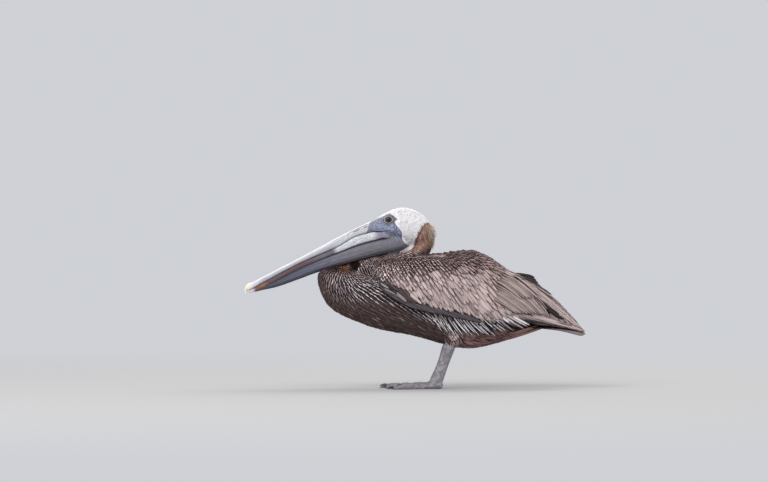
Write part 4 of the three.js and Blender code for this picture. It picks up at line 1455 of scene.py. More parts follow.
def build_maxilla(material):
    """The upper half: a pale ridge with a painted highlight, a groove and fine lines along it, and painted
    shade on its lower side, by the turn away from its top.
    """
    p, turn = tube_points(MAXILLA, 150, 72)
    x, away = p[..., 0], np.abs(turn)
    along = smooth(-334, -318, x) * smooth(-84, -104, x)
    groove = bump_at(away, 0.86, 0.085)
    low_line = bump_at(away, 1.42, 0.05)
    streaks = bump_at(away, 0.78, 0.11) + bump_at(away, 1.32, 0.10) * smooth(-0.6, 0.2, np.sin(x * 0.31))
    streaks = streaks * smooth(-146, -120, x) * smooth(-92, -97, x)
    ridge = bump_at(away, 0, 0.34)
    ripple = np.sin(x * 0.9 + 6 * np.sin(x * 0.11)) * np.sin(away * 7)
    p = p + outward(p) * (along * (0.35 * ridge - 1.0 * groove - 0.35 * low_line + 0.06 * ripple))[..., None]
    # pale top: the culmen's own pale horn and a painted highlight
    tint = mix(CULMEN_PALE_AND_HIGHLIGHT, PLATE, smooth(0.50, 0.80, away))
    tint = mix(tint, CULMEN_LINE, np.clip(0.45 * groove + 0.35 * low_line, 0, 1) * along)
    tint = mix(tint, np.array(CULMEN_LINE) * 0.25, np.clip(streaks, 0, 1) * 0.95)
    lines = smooth(0.25, 0.85, np.sin(away * 27 + 0.6 * np.sin(x * 0.09)) + 0.35 * np.sin(x * 0.7 + away * 9))
    base = (0.3 + 0.7 * smooth(-176, -140, x)) * smooth(-92, -102, x) * smooth(-322, -300, x)
    base = base * smooth(0.45, 0.65, away) * smooth(1.9, 1.6, away)
    tint = mix(tint, np.array(CULMEN_LINE) * 0.45, 0.62 * lines * base)
    # the lower side and the cutting edge darkened: their own grey and painted shade
    low = smooth(1.05, 1.5, away) * smooth(-150, -172, x) * smooth(-326, -300, x)
    tint = mix(tint, TOMIUM_AND_SHADE, 0.8 * np.maximum(low, smooth(2.2, 2.5, away) * smooth(-130, -180, x)))
    tint = mix(tint, CREAM, smooth(-318, -334, x) * 0.6)
    tint = mix(tint, LORE, smooth(-93, -90.5, x + 3.5 * (away - 0.8)) * smooth(0.30, 0.6, away))
    return tube_piece("bill_upper_horn", tucked(p, RIM[0]), tint, material)


# The colours along the lower half of the bill, and which of them is seen at each x.
ZONE_COLOURS = np.array([TIP_GREY, ORANGE, MAROON, RAMUS_DARK, RAMUS_WHITE, RAMUS_REAR])
BILL_ZONES = line((-332, 0), (-325, 0), (-318, 1), (-299, 1), (-290, 2), (-222, 2), (-186, 3), (-164, 3),
                  (-152, 4), (-86, 4), (-73, 5), (-44, 5))


def build_mandible(material):
    """The lower half: toothed at the tip, a seam along its side, and colours in zones along it, with painted
    shade in its notches and gaps and a painted highlight on its lower edge.
    """
    p, turn = tube_points(MANDIBLE, 170, 64)
    x, away = p[..., 0], np.abs(turn)
    lowness = (1 - np.cos(away)) / 2
    saw = np.sin(x * 2 * np.pi / 2.7)
    teeth = smooth(-286, -300, x) * smooth(-327, -318, x)
    edge = bump_at(away, 2.25, 0.08) * smooth(-300, -240, x) * smooth(-120, -150, x)
    seam = bump_at(away, 0.95, 0.08) * smooth(-322, -300, x)
    p = p + outward(p) * (0.16 * teeth * saw - 0.35 * seam + 0.35 * edge)[..., None]
    place = BILL_ZONES(x - 7 * (lowness - 0.5))
    lower = np.clip(place.astype(int), 0, len(ZONE_COLOURS) - 2)
    tint = mix(ZONE_COLOURS[lower], ZONE_COLOURS[lower + 1], place - lower)
    # painted shade in the notches between the teeth
    tint = mix(tint, tint * 0.45, np.clip(teeth * (0.5 - 0.5 * saw) * 0.7, 0, 1))
    # a painted highlight along the raised lower edge
    tint = mix(tint, RAMUS_EDGE_HIGHLIGHT, 0.8 * edge)
    fleck = smooth(0.35, 0.85, np.sin(x * 0.83 + 3 * np.sin(away * 6)) * np.sin(x * 0.31 + away * 11))
    tint = mix(tint, RAMUS_FLECK, 0.75 * fleck * smooth(-170, -150, x) * smooth(-68, -84, x))
    # painted shade along the gap under the upper bill and the groove over the pouch
    upper = smooth(0.46, 0.34, away) * (0.10 + 0.45 * smooth(-155, -185, x))
    dark = np.clip(upper + smooth(2.50, 2.66, away) * 0.85, 0, 1)
    tint = mix(tint, tint * 0.30, dark)
    return tube_piece("bill_lower_horn", tucked(p, RIM[1]), tint, material)


def build_pouch(material):
    """The pouch: folds that run along it and sway, as sums of sines of the turn, and crumples at the rear."""
    p, turn = tube_points(POUCH, 220, 112)
    x, away = p[..., 0], np.abs(turn)
    fade = smooth(-320, -290, x) * smooth(-54, -90, x)
    sway = 0.5 * np.sin(x * 0.021 + 1.0) + 0.12 * np.sin(x * 0.083 + 2 * np.sin(turn * 3))
    folds = np.sin(away * 17 + sway * 4) * 0.6 + np.sin(away * 31 + sway * 7 + 1.3) * 0.4
    crumple = np.sin(x * 0.35 + 5 * np.sin(away * 4 + 0.02 * x)) * np.sin(away * 23 + x * 0.05)
    rear = smooth(-150, -60, x)
    p = p + outward(p) * (fade * (0.34 * folds + (0.10 + 0.16 * rear) * crumple))[..., None]
    tint = mix(POUCH_BLUE, POUCH_GREY, smooth(-250, -120, x))
    tint = mix(tint, POUCH_GREEN, bump_at(away, 1.0, 0.55) * smooth(-236, -268, x))
    pale = bump_at(away, 1.75, 0.35) * 0.45 * smooth(-300, -230, x) * smooth(-90, -170, x)
    tint = mix(tint, POUCH_PALE, pale)
    tint = mix(tint, FACE_DEEP, smooth(-48, -20, x) * 0.3)
    # painted light and shade of the folds and crumples: their crests lighter, their troughs darker
    tint = tint * (1 + 0.11 * folds * fade + 0.10 * crumple)[..., None]
    # painted shade under the lower bill, along the pouch's top
    tint = mix(tint, tint * 0.38, smooth(1.02, 0.76, away) * smooth(-318, -300, x))
    # painted shade on the pouch's underside
    tint = mix(tint, tint * 0.55, smooth(2.2, 2.9, away))
    return tube_piece("pouch_wall", tucked(p, RIM[2]), tint, material)


def build_bill():
    """The two halves of the bill, the pouch under them and the nail at the tip."""
    horn = tube_material("horn")
    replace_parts(build_maxilla(horn), "bill_upper")
    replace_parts(build_mandible(horn), "bill_lower")
    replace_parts(build_pouch(tube_material("pouch")), "pouch")
    p = path_points(NAIL, 28, 48, ACROSS)
    tint = mix(NAIL_CREAM, NAIL_TIP, smooth(196, 188, p[..., 2]))
    # the nail's rear takes the culmen's pale colour with its painted highlight
    tint = mix(tint, CULMEN_PALE_AND_HIGHLIGHT, smooth(-324, -318, p[..., 0]) * 0.8)
    nail = tube_piece("nail_horn", p, tint, horn)
    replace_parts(nail, "bill_nail")


# ---- eyes


def build_eyes(settings):
    """Two balls: x = r sin a cos b, z = r sin a sin b, y = r cos a outward, the front a little raised."""
    material = eye_material(settings)
    r = settings.eye_radius / MM
    a = np.linspace(0.02, np.pi - 0.02, 40)[:, None]
    b = np.linspace(0, 2 * np.pi, 56, endpoint=False)[None]
    for hand, name in SIDES:
        raised = 0.55 * np.exp(-((a / 0.55) ** 2))
        ball = [r * np.sin(a) * np.cos(b), hand * (r * np.cos(a) + raised) + 0 * b, r * np.sin(a) * np.sin(b)]
        p = np.stack(np.broadcast_arrays(*ball), -1) + (EYE["x"], hand * EYE["y"], EYE["z"])
        tint = np.full(p.shape, 0.02)
        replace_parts(tube_piece("eye_%s_ball" % name, p, tint, material), "eye_" + name)


# ---- legs

# The shank and the pad under the toes' roots, by rows of x, y, z, deep, wide.
SHANK = ((70.5, -47.8, 92, 9.6, 7.8), (68.5, -48, 84, 11.3, 8.8), (65, -48.2, 75, 11.6, 8.4),
         (60, -48.8, 60, 10.6, 6.4), (55, -49.2, 46, 10.3, 6.0), (49, -50, 30, 10.8, 6.5),
         (43.5, -50.7, 17, 11.6, 8.6), (40, -51, 9, 11, 9.4))
PAD = ((54, -50.6, 4.6, 4.4, 5.5), (50, -50.8, 6, 6.6, 9), (38, -51, 6.5, 8, 11), (28, -51.2, 5.2, 6.5, 11),
       (22, -51.2, 4, 4, 7))


class Toe(NamedTuple):
    """turn is the angle from straight ahead, towards the middle of the bird."""

    name: str
    turn: float
    length: float
    base: float
    tip: float
    joints: int


TOES = (Toe("outer", -27, 92, 5.6, 3.8, 4), Toe("middle", -4, 96, 6.0, 4.0, 3),
        Toe("inner", 20, 70, 5.6, 3.8, 2), Toe("hind", 68, 40, 5.0, 3.4, 1))
FOOT = np.array([37.0, -51.0, 0])
# A claw, by rows of how far past the toe's end, how high for the toe's radius, and how thick.
CLAW = ((-3, 0.9, 2.7), (1, 1.0, 2.8), (4, 1.02, 2.4), (8, 0.88, 1.6), (10.5, 0.6, 0.9), (12, 0.28, 0.45))


def toe_way(toe):
    """The way a toe points, along the floor."""
    turn = np.radians(toe.turn)
    return np.array([-np.cos(turn), np.sin(turn), 0])


def toe_rings(toe):
    """A toe from the foot to its claw: its radius swells at each joint, and its sole lies on the floor."""
    share = np.linspace(0, 1, 56)
    swell = 1 + 0.10 * np.cos(share * 2 * np.pi * (toe.joints + 0.5)) * smooth(0, 0.15, share)
    radius = (toe.base + (toe.tip - toe.base) * share) * swell
    end = np.sqrt(1 - (1 - np.clip((1 - share) * toe.length / 3, 0.05, 1)) ** 2)
    up = np.array([0, 0, 1])
    middle = FOOT + toe_way(toe) * (toe.length * share)[:, None] + up * (radius * 0.8)[:, None]
    side = np.array([-toe_way(toe)[1], toe_way(toe)[0], 0])
    turn = np.linspace(0, 2 * np.pi, 24, endpoint=False)
    out = side * np.sin(turn)[:, None] + up * np.cos(turn)[:, None]
    return middle[:, None] + out[None] * (radius * end)[:, None, None]


def claw_rings(toe):
    """The claw on the end of a toe, curved down to the floor."""
    rows = []
    for past, lift, radius in CLAW:
        x, y = (FOOT + toe_way(toe) * (toe.length + past))[:2]
        rows.append((x, y, toe.tip * lift + 0.6, radius, radius * 0.85))
    return path_points(rows, 20, 26, np.array([toe_way(toe)[1], -toe_way(toe)[0], 0]))


def web_grid():
    """Each web between two toes, as places on the floor and heights: slack, rippled, its edge drawn in."""
    sheets = []
    for toe, beside in zip(TOES[:-1], TOES[1:]):
        a, b = toe_way(toe) * toe.length, toe_way(beside) * beside.length
        s = np.linspace(0, 1, 26)[:, None, None]
        r = np.linspace(0.06, 1, 40)[None, :, None]
        edge = (a + (b - a) * s) * (1 - 0.8 * s * (1 - s))
        plan = FOOT + edge * r
        slack = 4 * s * (1 - s)
        ripple = 0.22 * np.sin(r * 34 + 3 * s) * slack
        top = 3.5 - 0.9 * slack * r + ripple
        sheets.append((plan, top))
    return sheets


def leg_mesh():
    """Shank, toes and web of the left leg as overlapping closed forms in one mesh."""
    points, faces = [], []

    def add(form, polygons):
        """Adds a form, its polygons numbered on from the points before it."""
        faces.extend([[i + len(points) for i in polygon] for polygon in polygons])
        points.extend(form.reshape(-1, 3))

    toes = [toe_rings(toe) for toe in TOES]
    for form in (path_points(SHANK, 32, 60, ACROSS), path_points(PAD, 28, 24, ACROSS), *toes):
        rings, sides = form.shape[:2]
        add(form, tube_faces(rings, sides).tolist() + tube_ends(rings, sides).tolist())
    for plan, top in web_grid():
        m, n = plan.shape[:2]
        upper = np.dstack([plan[..., 0], plan[..., 1], top[..., 0]])
        lower = np.dstack([plan[..., 0], plan[..., 1], np.full((m, n), 0.9)])
        index = np.arange(m * n).reshape(m, n)
        quads = np.stack([index[:-1, :-1], index[1:, :-1], index[1:, 1:], index[:-1, 1:]], -1).reshape(-1, 4)
        rim = np.concatenate([index[0], index[1:, -1], index[-1, -2::-1], index[-2:0:-1, 0]])
        wall = np.stack([rim, rim + m * n, np.roll(rim, -1) + m * n, np.roll(rim, -1)], -1)
        sheets = np.concatenate([quads[:, ::-1], quads + m * n, wall[:, ::-1]])
        add(np.stack([upper, lower]), sheets.tolist())
    mesh = bpy.data.meshes.new("leg")
    mesh.from_pydata([tuple(p * MM) for p in points], [], faces)
    work = bmesh.new()
    work.from_mesh(mesh)
    bmesh.ops.recalc_face_normals(work, faces=work.faces)
    work.to_mesh(mesh)
    work.free()
    return mesh


def build_legs(settings):
    """Two mirrored legs in one scaly skin each, flat on the floor, and a claw on each toe."""
    material, claw = leg_material(settings), tube_material("claw")
    left = merged_mesh(leg_mesh(), settings.leg_cell / MM, 4)
    points = mesh_points(left)
    points[:, 2] = np.maximum(points[:, 2], 0)
    for hand, name in SIDES:
        mesh = left.copy()
        if hand > 0:
            mesh.flip_normals()
        reshaped(mesh, points * (1, -hand, 1))
        piece = link_piece("leg_" + name, mesh, material)
        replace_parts(piece, "shank_" + name, "foot_" + name)
        for toe in TOES:
            p = claw_rings(toe) * (1, -hand, 1)
            p[..., 2] = np.maximum(p[..., 2], 0.05)
            nail = tube_piece("nail_%s_%s" % (toe.name, name), p, np.full(p.shape, 0.05), claw)
            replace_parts(nail, "claw_%s_%s" % (toe.name, name))


# ---- materials


class Tree:
    """Short words for building a node tree."""

    def __init__(self, tree):
        self.tree = tree

    def node(self, kind, inputs=(), **values):
        """A node with its settings, and its inputs fed by name or number."""
        made = self.tree.nodes.new(kind)
        for key, value in values.items():
            setattr(made, key, value)
        for key, value in dict(inputs).items():
            self.feed(made.inputs[key], value)
        return made

    def feed(self, socket, value):
        """Links an output to an input, or sets the input's own value."""
        if isinstance(value, bpy.types.NodeSocket):
            self.tree.links.new(value, socket)
        else:
            socket.default_value = value

    def math(self, operation, a, b=0.0):
        """One operation on numbers."""
        return self.node("ShaderNodeMath", operation=operation, inputs={0: a, 1: b}).outputs[0]

    def plus(self, a, b):
        """a + b."""
        return self.math("ADD", a, b)

    def minus(self, a, b):
        """a - b."""
        return self.math("SUBTRACT", a, b)

    def times(self, a, b):
        """a b."""
        return self.math("MULTIPLY", a, b)

    def larger(self, a, b):
        """The larger of a and b."""
        return self.math("MAXIMUM", a, b)

    def ramp(self, value, low, high, start=0.0, end=1.0):
        """A smooth step of value from low to high, between start and end."""
        return self.node("ShaderNodeMapRange", interpolation_type="SMOOTHSTEP",
                         inputs={0: value, 1: low, 2: high, 3: start, 4: end}).outputs[0]

    def blend(self, factor, a, b, kind="MIX"):
        """The colour a mixed with b by a factor; each may be a tuple of three numbers."""
        a, b = ((*colour, 1) if isinstance(colour, tuple) else colour for colour in (a, b))
        return self.node("ShaderNodeMix", data_type="RGBA", blend_type=kind,
                         inputs={0: factor, 6: a, 7: b}).outputs[2]

    def split(self, vector):
        """The three numbers of a vector."""
        return self.node("ShaderNodeSeparateXYZ", inputs={0: vector}).outputs

    def join(self, x, y, z=0.0):
        """A vector from three numbers."""
        return self.node("ShaderNodeCombineXYZ", inputs={0: x, 1: y, 2: z}).outputs[0]

    def grey(self, value):
        """A colour from one number."""
        return self.node("ShaderNodeCombineColor", inputs={0: value, 1: value, 2: value}).outputs[0]

    def place(self):
        """The place of a point in the part's frame, in metres."""
        return self.node("ShaderNodeTexCoord").outputs["Object"]

    def attribute(self, name, kind="Vector"):
        """What the points hold under a name."""
        return self.node("ShaderNodeAttribute", attribute_name=name).outputs[kind]

    def noise(self, scale, detail, vector):
        """Noise from 0 to 1 about a middle of 0.5."""
        inputs = {"Scale": scale, "Detail": detail, "Vector": vector}
        return self.node("ShaderNodeTexNoise", inputs=inputs).outputs["Fac"]

    def group(self, kind, inputs):
        """A shared group, fed by name."""
        return self.node("ShaderNodeGroup", node_tree=kind, inputs=inputs)

    def paint(self, colour):
        """Colours the shader."""
        self.feed(self.shader.inputs["Base Color"], colour)

    def relief(self, height, strength, distance):
        """Gives the shader relief, as deep as distance in metres."""
        inputs = {"Strength": strength, "Distance": distance, "Height": height}
        self.feed(self.shader.inputs["Normal"], self.node("ShaderNodeBump", inputs=inputs).outputs[0])


def new_material(name, roughness, specular=0.5):
    """A material, and the words for its tree."""
    material = bpy.data.materials.new(name)
    material.use_nodes = True
    t = Tree(material.node_tree)
    t.shader = material.node_tree.nodes["Principled BSDF"]
    t.feed(t.shader.inputs["Roughness"], roughness)
    t.feed(t.shader.inputs["Specular IOR Level"], specular)
    return material, t


def new_group(name, inputs):
    """A shared node group that gives a colour and a height, with the words for its tree and its inputs."""
    group = bpy.data.node_groups.new(name, "ShaderNodeTree")
    for word, kind in inputs.items():
        group.interface.new_socket(word, in_out="INPUT", socket_type="NodeSocket" + kind)
    for word, kind in (("Color", "Color"), ("Height", "Float")):
        group.interface.new_socket(word, in_out="OUTPUT", socket_type="NodeSocket" + kind)
    t = Tree(group)
    return group, t, t.node("NodeGroupInput").outputs


def feather_group():
    """Colour and relief of a vane: pale centre, dark margin, shaft, barbs, and grey down and painted shade at
    the root.
    """
    if "Feather Vane" in bpy.data.node_groups:
        return bpy.data.node_groups["Feather Vane"]
    group, t, given = new_group("Feather Vane", {
        "Centre": "Color", "Margin": "Color", "Vane": "Vector", "Span": "Vector",
        "Tip": "Float", "Streak": "Float", "Shaft": "Float", "Root": "Float"})
    vane, span = t.split(given["Vane"]), t.split(given["Span"])
    off = t.math("ABSOLUTE", t.plus(vane[0], t.times(t.minus(vane[2], 0.5), 0.22)))
    width = t.times(off, span[0])
    run = t.times(vane[1], span[1])
    slant = t.minus(run, t.times(width, 1.1))
    rough = t.noise(1.0, 3.0, t.join(t.times(slant, 1.3), t.times(width, 0.25), t.times(vane[2], 97.0)))
    edge = t.plus(off, t.times(t.minus(rough, 0.5), 0.32))
    outer = t.ramp(t.minus(edge, span[2]), -0.10, 0.12)
    tip = t.ramp(t.plus(vane[1], t.times(rough, 0.10)), 0.88, 0.98)
    narrow = t.ramp(span[2], 0.58, 0.34, 0.25, 1.0)
    dark = t.larger(outer, t.times(tip, t.times(given["Tip"], narrow)))
    colour = t.blend(dark, given["Centre"], given["Margin"])
    thread = t.join(t.times(t.times(vane[0], span[0]), 1.1), t.times(run, 0.05), t.times(vane[2], 53.0))
    lines = t.ramp(t.noise(1.0, 2.0, thread), 0.50, 0.66)
    colour = t.blend(t.times(t.times(lines, given["Streak"]), 0.55), colour, given["Margin"])
    barb = t.math("SINE", t.times(slant, 6.5))
    tone = t.plus(t.plus(0.92, t.times(rough, 0.22)), t.times(barb, 0.035))
    # the root darkened: painted shade under the feathers that lie over it, and the grey of the down
    tone = t.times(tone, t.ramp(vane[1], 0.0, 0.5, given["Root"], 1.0))
    colour = t.blend(1.0, colour, t.grey(tone), "MULTIPLY")
    shaft = t.times(t.ramp(width, 0.35, 0.12), t.ramp(vane[1], 0.95, 0.7))
    colour = t.blend(t.times(shaft, given["Shaft"]), colour, SHAFT)
    height = t.plus(t.times(barb, 0.5), t.times(shaft, 2.0))
    t.node("NodeGroupOutput", inputs={"Color": colour, "Height": height})
    return group


# For each kind of feather, how dark its end is, how strong its streaks and its shaft are, and how light its
# root is: its darkening is painted shade under the feathers over it and the grey of the down.
FEATHERS = {
    "body": (0.45, 0.15, 0.06, 0.55),
    "wing": (1.0, 0.9, 0.25, 0.70),
    "head": (0.0, 0.0, 0.0, 0.92),
    "crest": (0.0, 0.0, 0.0, 0.80),
    "flight": (0.30, 1.3, 0.55, 0.75),
    "flank": (0.0, 0.25, 0.0, 0.80),
    "tail": (0.30, 1.3, 0.55, 0.75),
    "vent": (0.45, 0.15, 0.06, 0.55),
}


def feather_material(kind):
    """Vanes of one kind, coloured by what each point holds."""
    material, t = new_material("feathers_" + kind, 0.78, 0.14)
    inputs = dict(zip(("Tip", "Streak", "Shaft", "Root"), FEATHERS[kind]))
    inputs.update({
        "Centre": t.attribute("centre", "Color"), "Margin": t.attribute("margin", "Color"),
        "Vane": t.attribute("vane"), "Span": t.attribute("span")})
    vane = t.group(feather_group(), inputs)
    t.paint(vane.outputs["Color"])
    t.relief(vane.outputs["Height"], 0.4, 0.0002)
    return material


def mottle_group():
    """A tint broken by blotches of two sizes and by fine relief."""
    if "Mottle" in bpy.data.node_groups:
        return bpy.data.node_groups["Mottle"]
    group, t, given = new_group("Mottle", {
        "Tint": "Color", "Size": "Float", "Amount": "Float", "Stretch": "Vector", "Place": "Vector"})
    place = t.node("ShaderNodeVectorMath", operation="MULTIPLY",
                   inputs={0: given["Place"], 1: given["Stretch"]}).outputs[0]
    broad = t.noise(given["Size"], 3.0, place)
    fine = t.noise(t.times(given["Size"], 4.3), 4.0, place)
    both = t.plus(t.times(broad, 0.6), t.times(fine, 0.4))
    tone = t.plus(1.0, t.times(t.minus(both, 0.5), t.times(given["Amount"], 4.0)))
    colour = t.blend(1.0, given["Tint"], t.grey(tone), "MULTIPLY")
    t.node("NodeGroupOutput", inputs={"Color": colour, "Height": fine})
    return group


def mottled(name, size, amount, stretch, roughness, specular, grain=True):
    """A material that mottles the tint on the points, along and round a tube or in space."""
    material, t = new_material(name, roughness, specular)
    group = t.group(mottle_group(), {
        "Tint": t.attribute("tint", "Color"), "Size": size, "Amount": amount, "Stretch": stretch,
        "Place": t.attribute("grain") if grain else t.place()})
    t.paint(group.outputs["Color"])
    return material, t, group.outputs


# Size, strength and stretch of a tube's blotches, along and round it, its roughness and gloss, and how strong
# and deep its relief is: the bill's horn is finely lined, and the pouch wrinkled.
TUBES = {
    "horn": (420.0, 0.60, (0.10, 1.6, 1), 0.5, 0.5, 0.45, 0.0004),
    "pouch": (300.0, 0.26, (0.22, 1.6, 1), 0.62, 0.22, 0.5, 0.0005),
    "claw": (400.0, 0.3, (0.4, 1, 1), 0.35, 0.5, 0.3, 0.0003),
}


def tube_material(kind):
    """The material of horn, pouch or claw."""
    *blotches, roughness, specular, strength, distance = TUBES[kind]
    material, t, made = mottled(kind, *blotches, roughness, specular)
    t.relief(made["Height"], strength, distance)
    return material


def leg_material(settings):
    """Grey scaly skin: dark seams between small plates."""
    pale = np.array(settings.leg_colour)
    material, t = new_material("leg", 0.6)
    place = t.place()
    scales = t.node("ShaderNodeTexVoronoi", inputs={"Vector": place, "Scale": 520.0},
                    feature="DISTANCE_TO_EDGE")
    seam = t.ramp(scales.outputs["Distance"], 0.0, 0.16)
    blotch = t.ramp(t.noise(150.0, 4.0, place), 0.35, 0.68)
    colour = t.blend(seam, LEG_SEAM, t.blend(blotch, tuple(0.62 * pale), tuple(1.3 * pale)))
    t.paint(colour)
    t.relief(seam, 0.8, 0.0005)
    return material


def eye_material(settings):
    """Black pupil, dark brown iris with fine rays, and darker white hidden by the lids."""
    material, t = new_material("eye", 0.07, 0.32)
    place = t.split(t.place())
    x = t.minus(t.times(place[0], 1000), EYE["x"])
    z = t.minus(t.times(place[2], 1000), EYE["z"])
    reach = t.math("SQRT", t.plus(t.times(x, x), t.times(z, z)))
    rays = t.noise(3.0, 2.0, t.join(t.times(t.math("ARCTAN2", z, x), 6.0), t.times(reach, 0.4)))
    pale = np.array(settings.iris_colour)
    iris = t.blend(t.ramp(rays, 0.35, 0.65), tuple(0.4 * pale), tuple(pale))
    colour = t.blend(t.ramp(reach, 2.9, 3.3), PUPIL, iris)
    colour = t.blend(t.ramp(reach, 4.9, 5.5), colour, EYE_RIM)
    t.paint(colour)
    return material


def skin_material():
    """The coat's colours under the coat, dark as painted shade in the gaps; on the face specks, creases with
    painted shade, and painted shadow in the slit of the gape.
    """
    material, t, made = mottled("skin", 300.0, 0.14, (1, 1, 1), 0.6, 0.3, grain=False)
    place = t.place()
    xyz = t.split(place)
    x, z = t.times(xyz[0], 1000), t.times(xyz[2], 1000)
    bare = t.attribute("tint", "Alpha")
    upper = t.ramp(t.plus(z, t.times(x, 0.35)), 277.0, 290.0)
    # pale and dark specks, and creases darkened with painted shade
    speck = t.noise(420.0, 3.0, place)
    patch = t.ramp(t.noise(130.0, 2.0, place), 0.40, 0.58)
    pale = t.times(t.ramp(speck, 0.50, 0.64), t.times(patch, upper))
    colour = t.blend(t.times(t.times(pale, bare), 0.80), made["Color"], FACE_PALE)
    dark = t.times(t.ramp(speck, 0.47, 0.34), bare)
    colour = t.blend(t.times(dark, 0.65), colour, FACE_DEEP)
    vein = t.math("ABSOLUTE", t.minus(t.noise(90.0, 3.0, place), 0.5))
    crease = t.times(t.ramp(vein, 0.022, 0.004), t.times(bare, upper))
    # painted shade in the creases
    colour = t.blend(t.times(crease, 0.7), colour, FACE_DEEP)
    # painted shadow in the slit of the gape, and in the groove under the lower bill's rear
    off = t.math("ABSOLUTE", t.minus(z, t.plus(313.0, t.times(t.plus(x, 70.0), 0.0625))))
    gape = t.times(t.ramp(off, 1.5, 0.5), t.times(t.ramp(x, -48.5, -51.5), bare))
    off = t.math("ABSOLUTE", t.minus(z, t.plus(301.5, t.times(t.plus(x, 44.0), 0.198))))
    lower = t.times(t.ramp(off, 1.3, 0.3), t.times(t.ramp(x, -44.0, -54.0), bare))
    cut = t.larger(gape, t.times(lower, 0.8))
    t.paint(t.blend(cut, colour, GAPE_SHADOW))
    depth = t.plus(t.times(cut, 1.5), t.times(crease, 0.8))
    t.relief(t.minus(made["Height"], depth), 0.55, 0.0006)
    return material


# ---- stage


def build_world(settings):
    """A plain white sky that looks to the camera like the backdrop."""
    world = bpy.data.worlds.new("sky")
    bpy.context.scene.world = world
    world.use_nodes = True
    t = Tree(world.node_tree)
    path = t.node("ShaderNodeLightPath").outputs
    seen = t.larger(path["Is Camera Ray"], t.larger(path["Is Glossy Ray"], path["Is Transmission Ray"]))
    light = tuple(settings.sky * c for c in SKY)
    colour = t.blend(seen, light, tuple(settings.backdrop))
    t.feed(world.node_tree.nodes["Background"].inputs["Color"], colour)


def floor_material(settings):
    """Pale near the bird, where it takes the shadow, and further out one with the backdrop."""
    material, t = new_material("floor", 0.95, 0.1)
    seen = t.node("ShaderNodeLightPath").outputs["Is Camera Ray"]
    t.paint(t.blend(seen, FLOOR_LIGHT, (settings.floor,) * 3))
    xyz = t.split(t.place())
    away = t.math("SQRT", t.plus(t.times(xyz[0], xyz[0]), t.times(xyz[1], xyz[1])))
    far = t.times(seen, t.ramp(away, 0.5, 3.2))
    glow = t.node("ShaderNodeEmission", inputs={"Color": (*settings.backdrop, 1), "Strength": 1.0})
    blend = t.node("ShaderNodeMixShader", inputs={0: far, 1: t.shader.outputs[0], 2: glow.outputs[0]})
    output = next(n for n in material.node_tree.nodes if n.type == "OUTPUT_MATERIAL")
    t.feed(output.inputs["Surface"], blend.outputs[0])
    return material


# In metres: where the camera stands, looking along +Y, each lamp by its place, its share of the key lamp's
# power and its colour, the lamps' size and what they face, and how far the floor reaches.
CAMERA = (-0.062, -8.533, 0.294)
LENS = 200
LAMPS = {"key": ((-2.6, -4.0, 4.0), 1.0, (1.0, 0.97, 0.94)),
         "back": ((2.6, 3.4, 4.2), 0.6, (1.0, 0.98, 0.97))}
LAMP_SIZE = 3.6
LAMP_AIM = Vector((0, 0, 0.2))
FLOOR = 40
# The floor's colour as a source of light on the bird.
FLOOR_LIGHT = (0.46, 0.46, 0.46)


def build_stage(settings):
    """Camera, sky, two soft lamps and a wide floor."""
    scene = bpy.context.scene
    camera = bpy.data.cameras.new("camera")
    camera.lens = LENS
    view = bpy.data.objects.new("camera", camera)
    view.location = CAMERA
    view.rotation_euler = (np.pi / 2, 0, 0)
    scene.collection.objects.link(view)
    scene.camera = view
    build_world(settings)
    for name, (place, share, tint) in LAMPS.items():
        lamp = bpy.data.lights.new(name, "AREA")
        lamp.energy = settings.key * share
        lamp.size = LAMP_SIZE
        lamp.color = tint
        body = bpy.data.objects.new(name, lamp)
        body.location = place
        body.rotation_euler = (LAMP_AIM - body.location).to_track_quat("-Z", "Y").to_euler()
        scene.collection.objects.link(body)
    mesh = bpy.data.meshes.new("floor")
    corners = [(-FLOOR, -FLOOR, 0), (FLOOR, -FLOOR, 0), (FLOOR, FLOOR, 0), (-FLOOR, FLOOR, 0)]
    mesh.from_pydata(corners, [], [(0, 1, 2, 3)])
    floor = bpy.data.objects.new("floor", mesh)
    mesh.materials.append(floor_material(settings))
    scene.collection.objects.link(floor)
    scene.view_settings.view_transform = "Standard"


# ---- add-on


class PelicanSettings(PropertyGroup):
    """What the bird is built from."""

    skin_cell: FloatProperty(name="Skin Cell", description="Cell size of the merged skin", default=0.0024,
                             min=0.001, unit="LENGTH", precision=4)
    leg_cell: FloatProperty(name="Leg Cell", description="Cell size of the merged legs", default=0.0009,
                            min=0.0005, unit="LENGTH", precision=4)
    smoothing: IntProperty(name="Skin Smoothing", description="Rounds of smoothing", default=9, min=0)
    eye_radius: FloatProperty(name="Eye Radius", description="Radius of each eyeball", default=0.0076,
                              min=0.004, max=0.009, unit="LENGTH", precision=4)
    seed: IntProperty(name="Seed", description="Seed of the feathers' small differences", default=7, min=0)
    iris_colour: FloatVectorProperty(name="Iris", description="Colour of the pale rays of the iris",
                                     default=(0.085, 0.060, 0.052), subtype="COLOR", size=3, min=0, max=1)
    leg_colour: FloatVectorProperty(name="Legs", description="Mean colour of the scales of legs and feet",
                                    default=LEG, subtype="COLOR", size=3, min=0, max=1)


class PelicanStage(PropertyGroup):
    """How the bird is shown."""

    sky: FloatProperty(name="Sky", description="Strength of the sky's light", default=0.95, min=0)
    key: FloatProperty(name="Key Lamp", description="Power of the main lamp", default=250, min=0,
                       unit="POWER")
    floor: FloatProperty(name="Floor", description="How pale the camera sees the floor", default=0.41, min=0)
    backdrop: FloatVectorProperty(name="Backdrop", description="Colour behind the bird", default=BACKDROP,
                                  subtype="COLOR", size=3, min=0, max=1)


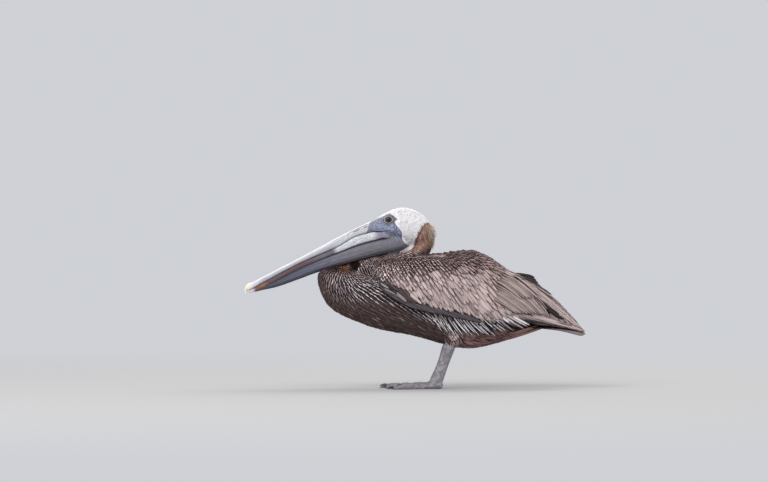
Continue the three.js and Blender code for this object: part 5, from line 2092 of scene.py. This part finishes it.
class PELICAN_OT_skin(Operator):
    """Build the skin that joins trunk, neck, head, thighs and wings, with the bare face and lids"""

    bl_idname = "pelican.skin"
    bl_label = "Skin"

    def execute(self, context):
        build_skin(context.scene.pelican)
        return {"FINISHED"}


class PELICAN_OT_plumage(Operator):
    """Build the small feathers of body, wings, head, crest and wing tips on the skin"""

    bl_idname = "pelican.plumage"
    bl_label = "Plumage"

    def execute(self, context):
        build_plumage(context.scene.pelican)
        return {"FINISHED"}


class PELICAN_OT_quills(Operator):
    """Build the long feathers of the wings and the striped row of the flanks"""

    bl_idname = "pelican.quills"
    bl_label = "Quills"

    def execute(self, context):
        build_quills(context.scene.pelican)
        return {"FINISHED"}


class PELICAN_OT_tail(Operator):
    """Build the fan of tail feathers"""

    bl_idname = "pelican.tail"
    bl_label = "Tail"

    def execute(self, context):
        build_tail(context.scene.pelican)
        return {"FINISHED"}


class PELICAN_OT_bill(Operator):
    """Build the upper and lower bill, the pouch and the nail"""

    bl_idname = "pelican.bill"
    bl_label = "Bill and Pouch"

    def execute(self, context):
        build_bill()
        return {"FINISHED"}


class PELICAN_OT_eyes(Operator):
    """Build the two eyes"""

    bl_idname = "pelican.eyes"
    bl_label = "Eyes"

    def execute(self, context):
        build_eyes(context.scene.pelican)
        return {"FINISHED"}


class PELICAN_OT_legs(Operator):
    """Build both legs with their toes, webs and claws"""

    bl_idname = "pelican.legs"
    bl_label = "Legs"

    def execute(self, context):
        build_legs(context.scene.pelican)
        return {"FINISHED"}


class PELICAN_OT_stage(Operator):
    """Build the camera, the sky, the lamps and the floor"""

    bl_idname = "pelican.stage"
    bl_label = "Stage"

    def execute(self, context):
        build_stage(context.scene.pelican_stage)
        return {"FINISHED"}


OPERATORS = (PELICAN_OT_skin, PELICAN_OT_plumage, PELICAN_OT_quills, PELICAN_OT_tail, PELICAN_OT_bill,
             PELICAN_OT_eyes, PELICAN_OT_legs, PELICAN_OT_stage)


class PELICAN_PT_build(Panel):
    """Settings and steps of the bird"""

    bl_idname = "PELICAN_PT_build"
    bl_label = "Brown Pelican"
    bl_space_type = "VIEW_3D"
    bl_region_type = "UI"
    bl_category = "Pelican"

    def draw(self, context):
        for group in (context.scene.pelican, context.scene.pelican_stage):
            for name in group.bl_rna.properties.keys():
                if name not in ("rna_type", "name"):
                    self.layout.prop(group, name)
        for operator in OPERATORS:
            self.layout.operator(operator.bl_idname)


CLASSES = (PelicanSettings, PelicanStage, *OPERATORS, PELICAN_PT_build)


def register():
    """Adds the classes and their settings."""
    for kind in CLASSES:
        bpy.utils.register_class(kind)
    bpy.types.Scene.pelican = PointerProperty(type=PelicanSettings)
    bpy.types.Scene.pelican_stage = PointerProperty(type=PelicanStage)


def unregister():
    """Takes them away again."""
    del bpy.types.Scene.pelican_stage
    del bpy.types.Scene.pelican
    for kind in reversed(CLASSES):
        bpy.utils.unregister_class(kind)


def main():
    """Builds everything in order through the operators."""
    register()
    bpy.ops.pelican.skin()
    bpy.ops.pelican.plumage()
    bpy.ops.pelican.quills()
    bpy.ops.pelican.tail()
    bpy.ops.pelican.bill()
    bpy.ops.pelican.eyes()
    bpy.ops.pelican.legs()
    bpy.ops.pelican.stage()


if __name__ == "__main__":
    main()
